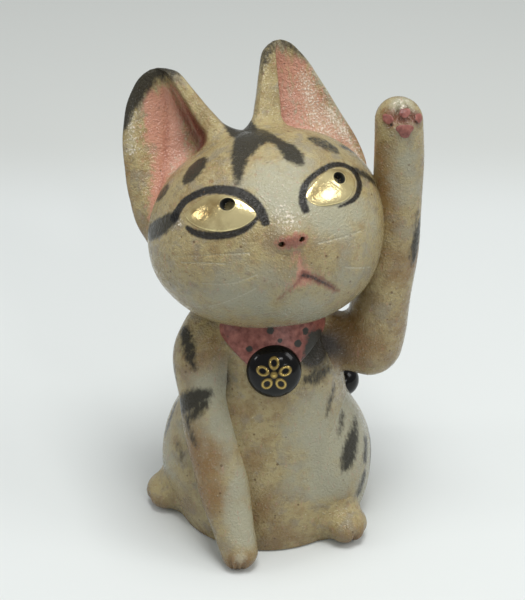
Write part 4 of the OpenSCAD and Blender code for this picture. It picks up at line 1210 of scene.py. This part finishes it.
HAUNCH_INK = [
    (0.9, [[-24.2, -0.6, 20.9, 1.2], [-23.0, 0.5, 24.3, 1.3], [-21.5, 2.4, 27.0, 1.0]]),
    (0.9, [[-20.6, -7.1, 22.4, 1.0], [-19.8, -8.5, 20.7, 1.3], [-19.0, -9.8, 18.6, 0.9]]),
    (0.7, [[21.2, -4.2, 27.8, 0.7], [20.7, -5.6, 26.8, 1.5], [20.0, -8.1, 25.1, 2.0]]),
    (1.0, [[20.2, -7.6, 25.4, 1.8], [19.3, -10.3, 23.0, 2.4], [18.6, -12.1, 20.6, 2.0],
           [18.0, -13.0, 18.8, 0.9]]),
    (0.9, [[23.7, -5.0, 21.8, 1.4], [23.5, -7.7, 18.4, 1.6]]),
    (0.9, [[23.2, -9.2, 14.2, 1.5], [22.0, -10.6, 11.0, 1.5]]),
    (0.9, [[24.5, 4.0, 21.0, 1.0], [25.4, 0.0, 17.5, 1.4], [25.3, -3.0, 13.0, 0.8]]),
    (0.9, [[-25.0, 4.0, 17.0, 1.2], [-25.0, 8.0, 20.0, 1.5], [-22.5, 11.0, 23.0, 0.8]]),
    (0.9, [[-23.5, 8.5, 7.0, 1.0], [-22.5, 12.0, 11.0, 1.5], [-19.5, 14.5, 15.0, 0.9]]),
]
HAUNCH_MILK = [[20.0, -6.0, 28.0, 5.5, 1.1], [24.0, -6.0, 9.0, 4.5, 1.2], [-22.0, -6.0, 15.0, 5.0, 0.7],
               [-24.0, 6.0, 22.0, 5.0, 0.5], [24.0, 6.0, 12.0, 6.0, 0.5]]
HAUNCH_TOAST = [[22.0, -8.0, 22.0, 5.0, 0.35], [18.0, -13.0, 7.0, 5.0, 0.5], [-20.0, -9.0, 5.0, 5.0, 0.6],
                [-25.0, 0.0, 3.0, 5.0, 0.5], [25.0, 0.0, 2.0, 6.0, 0.5]]

for name, side in (("left_haunch", 1), ("right_haunch", -1)):
    rings = egg_rings(HAUNCH_HALF, 150, 200, axis=0) + HAUNCHES[side]
    rings = drawn_out(rings, HAUNCHES[side], gap_to_flank(side), HAUNCH_STRETCH)
    rings = rings + outward(rings) * hand_waver(rings, WAVER)[..., None]
    rings[..., 2] = np.maximum(rings[..., 2], 0)
    haunch = skin(name, rings, stoneware, {
        "ink_and_shade": fur_marks(rings, HAUNCH_INK + CHEST_STROKES),
        "milk": bells(rings, HAUNCH_MILK + MILK_PATCHES),
        "toast": np.maximum(bells(rings, HAUNCH_TOAST), 0.8 * toasted_edge(rings)),
    })
    seat(haunch, "ash_glazed_clay", name)


# Hind feet
# Two knobs of clay tucked beside the base and smoothed into the flanks, with notches for the toes. The glaze
# ran thin there and toasted.
FOOT_HALF = np.array([4.9, 5.3, 4.3])
BASE_HALF = np.array(LEVELS[0][1:])
FOOT_OUT = 3.2
FOOT_Z = 3.9
FOOT_FILLET = 3.5
FOOT_STRETCH = 2.0
FOOT_TOE_GAPS = (-25.0, 20.0)
FOOT_TOE_WIDE = 10.0
FOOT_TOE_NOTCH = 0.9

for name, side, degrees in (("left_hind_foot", 1, 39.0), ("right_hind_foot", -1, 3.0)):
    angle = np.radians(degrees)
    edge = np.array([side, -1]) * BASE_HALF * np.array([np.cos(angle), np.sin(angle)])
    place = np.array([*(edge * (1 + FOOT_OUT / np.linalg.norm(edge))), FOOT_Z])
    rings = egg_rings(FOOT_HALF, 90, 120, axis=2) + place
    normals = outward(rings)
    knob = with_fillet(gap_to_flank(side), lambda points: gap_to_egg(points, place, FOOT_HALF), FOOT_FILLET)
    rings = drawn_out(rings, place, knob, FOOT_STRETCH)
    off = rings - place
    aim = np.degrees(np.arctan2(off[..., 1], off[..., 0])) - np.degrees(np.arctan2(edge[1], edge[0]))
    aim = (aim + 180) % 360 - 180
    notch = toe_notches(aim, FOOT_TOE_GAPS, FOOT_TOE_WIDE) * np.clip((TOE_TOP - rings[..., 2]) / 3, 0, 1)
    rings = rings + normals * (hand_waver(rings, WAVER) - FOOT_TOE_NOTCH * notch)[..., None]
    rings[..., 2] = np.maximum(rings[..., 2], 0)
    low = np.clip(1.3 - rings[..., 2] / 6, 0, 1) * np.clip(1.2 - np.abs(aim) / 90, 0, 1)
    foot = skin(name, rings, stoneware, {
        "ink_and_shade": fur_marks(rings, HAUNCH_INK),
        "toast": 0.2 + 0.7 * low,
        "milk": bells(rings, HAUNCH_MILK),
    })
    seat(foot, "toasted_clay", name)


# Tail
# A coil luted to the back and laid up round the cat's left side. It was dipped in an iron glaze that fired to
# a gloss black.
TAIL_R = 4.5
TAIL_TOP = 27.5
TAIL_LIFT = 3.0
TAIL_SWEEP = 54.0
TAIL_TAPER = 0.08
TAIL_SKIRT = (1.0, 1.5)
TAIL_WAVER = 0.4
TAIL_SHY = 0.03
IRON_POOL = "#070708"
IRON_BREAK = "#141211"
GILT = "#e0c170"
POOL_MM = 3.0
IRON_ROUGH = 0.14
IRON_SHINE = 0.28


def iron_black_glaze():
    """Iron glaze fired to black: deep, wet-looking gloss with a faint brown break where it is thin. Gold
    shows on it by the piece's gilt mark."""
    material, tree, shader = new_material("iron_black_glaze")
    place = add_node(tree, "ShaderNodeTexCoord", "Object")
    pool = add_node(tree, "ShaderNodeTexNoise", "Fac", {
        "Vector": place, "Scale": 1 / (POOL_MM * MM), "Detail": 3.0})
    black = add_node(tree, "ShaderNodeMix", 2, {0: pool, 6: to_linear(IRON_POOL), 7: to_linear(IRON_BREAK)},
                     data_type="RGBA")
    gilt = add_node(tree, "ShaderNodeAttribute", "Fac", attribute_name="gilt")
    colour = add_node(tree, "ShaderNodeMix", 2, {0: gilt, 6: black, 7: to_linear(GILT)}, data_type="RGBA")
    tree.links.new(colour, shader.inputs["Base Color"])
    tree.links.new(gilt, shader.inputs["Metallic"])
    shader.inputs["Roughness"].default_value = IRON_ROUGH
    shader.inputs["Specular IOR Level"].default_value = IRON_SHINE
    bump = add_node(tree, "ShaderNodeBump", 0, {"Height": pool, "Strength": 0.35, "Distance": 0.2 * MM})
    tree.links.new(bump, shader.inputs["Normal"])
    return material


iron_black = iron_black_glaze()


def tail_path():
    """Rows of the tail: up the body from the middle of the back to its left side, lifting off as it goes."""
    share = np.linspace(0, 1, 5)
    angle = np.radians(90 - TAIL_SWEEP * share)
    z = TAIL_R + (TAIL_TOP - TAIL_R) * share
    wide, deep = body_size_at(z)
    lift = TAIL_LIFT * np.minimum(1, 3 * share - 0.5)
    radius = TAIL_R * (1 - TAIL_TAPER * share)
    return np.stack([(wide + lift) * np.cos(angle), (deep + lift) * np.sin(angle), z, radius], 1)


rings = limb_rings(tail_path(), 140, 90, 18)
rings = skirt(rings, outward(rings), gap_to_flank(1), *TAIL_SKIRT)
rings = rings + outward(rings) * (hand_waver(rings, TAIL_WAVER) - TAIL_SHY)[..., None]
rings[..., 2] = np.maximum(rings[..., 2], 0)
tail = skin("tail", rings, iron_black)
seat(tail, "iron_black_glaze", "tail")


# Bib
# A thin triangle of clay laid over the chest, from a point at its middle up to the chin. It was washed with
# rose slip and dotted with iron, and its end by the raised arm is darkened with painted shade.
BIB_TIP = 45.0
BIB_RISE = 11.0
BIB_HALF = 14.5
BIB_THICK = 1.0
BIB_SIDE = 1.6
BIB_TOP = 60.0
BIB_WRAP = 0.97
BIB_DOTS = [(1.0, [[x, y, z, r], [x + 0.2, y, z + 0.2, r]]) for x, y, z, r in (
    (-4.1, -13.9, 53.2, 0.8), (0.7, -12.6, 57.4, 0.9), (7.1, -12.5, 53.9, 0.8), (-11.0, -9.5, 56.5, 0.7),
    (-9.3, -10.6, 54.5, 0.4), (3.0, -13.4, 55.2, 0.6), (8.9, -10.1, 55.8, 0.6))]

# The triangle widens evenly from its tip and is bent round the body's ellipse. Its two faces meet in a
# round edge.
z = np.linspace(BIB_TIP, BIB_TOP, 90)[:, None]
wide, deep = body_size_at(z)
turn = round_columns(200)
reach = np.minimum(BIB_HALF * np.clip((z - BIB_TIP) / BIB_RISE, 0.02, 1), BIB_WRAP * wide)
across = np.arcsin(np.clip((reach * np.cos(turn) + BIB_SIDE) / wide, -0.99, 0.99))
layer = BIB_THICK * np.sign(np.sin(turn)) * np.abs(np.sin(turn)) ** 0.3
rings = np.stack([(wide + layer) * np.sin(across), -(deep + layer) * np.cos(across), z + 0 * turn], -1)
# Iron dots, and painted shade by the armpit.
bib = skin("bib", rings, rose, {"ink_and_shade": brush(rings, BIB_DOTS) + 0.7 * bells(rings, ARMPIT_SHADE)})
seat(bib, "rose_slip", "bib")


# Medallion
# A domed disc of clay pressed on over the bib's point and dipped in the same black glaze as the tail. A plain
# five-petalled blossom is drawn on it in a raised gold line.
MEDALLION_R = 6.3
MEDALLION_THICK = 3.4
MEDALLION_SUNK = 1.2
MEDALLION_Z = 48.2
BACK_ROWS = 20
FACE_ROWS = 90
PETALS = 5
PETAL_OUT = 2.7
PETAL_LONG = 1.15
PETAL_NARROW = 1.25
GOLD_LINE = 0.5
GOLD_RISE = 0.22
HEART_R = 0.75
HEART_EDGE = 0.2

# A flat back grows out to the rim, and half an ellipsoid closes it in front. Each petal is an ellipse whose
# middle lies on its own spoke.
_, deep = body_size_at(np.array([MEDALLION_Z, MEDALLION_Z + 1]))
slope = np.arctan(deep[0] - deep[1])
dome = np.linspace(0, 0.9999, FACE_ROWS)
away = np.concatenate([np.linspace(0.02, 1, BACK_ROWS), np.sqrt(1 - dome**2)])[:, None]
turn = round_columns(180)
face = np.stack([away * np.cos(turn), away * np.sin(turn)], -1) * MEDALLION_R
spoke = np.arctan2(face[..., 0], face[..., 1]) / (2 * np.pi) * PETALS
petal = np.abs((spoke + 0.5) % 1 - 0.5) * 2 * np.pi / PETALS
out = np.linalg.norm(face, axis=-1)
leaf = np.hypot(out * np.cos(petal) - PETAL_OUT, PETAL_NARROW * out * np.sin(petal)) - PETAL_LONG
in_front = (np.arange(len(away)) > BACK_ROWS)[:, None]
gilt = np.clip(0.5 - np.abs(leaf) / GOLD_LINE + 0.35, 0, 1)
gilt = np.maximum(gilt, np.clip((HEART_R - out) / HEART_EDGE, 0, 1)) * in_front
height = np.concatenate([np.full(BACK_ROWS, -MEDALLION_SUNK), MEDALLION_THICK * dome])[:, None]
height = height + GOLD_RISE * gilt
disc = np.stack([face[..., 0], -height, face[..., 1]], -1)
rings = disc @ turned(0, -np.degrees(slope)).T + np.array([BIB_SIDE, -deep[0], MEDALLION_Z])
medallion = skin("medallion", rings, iron_black, {"gilt": gilt})
seat(medallion, "iron_black_glaze", "medallion")
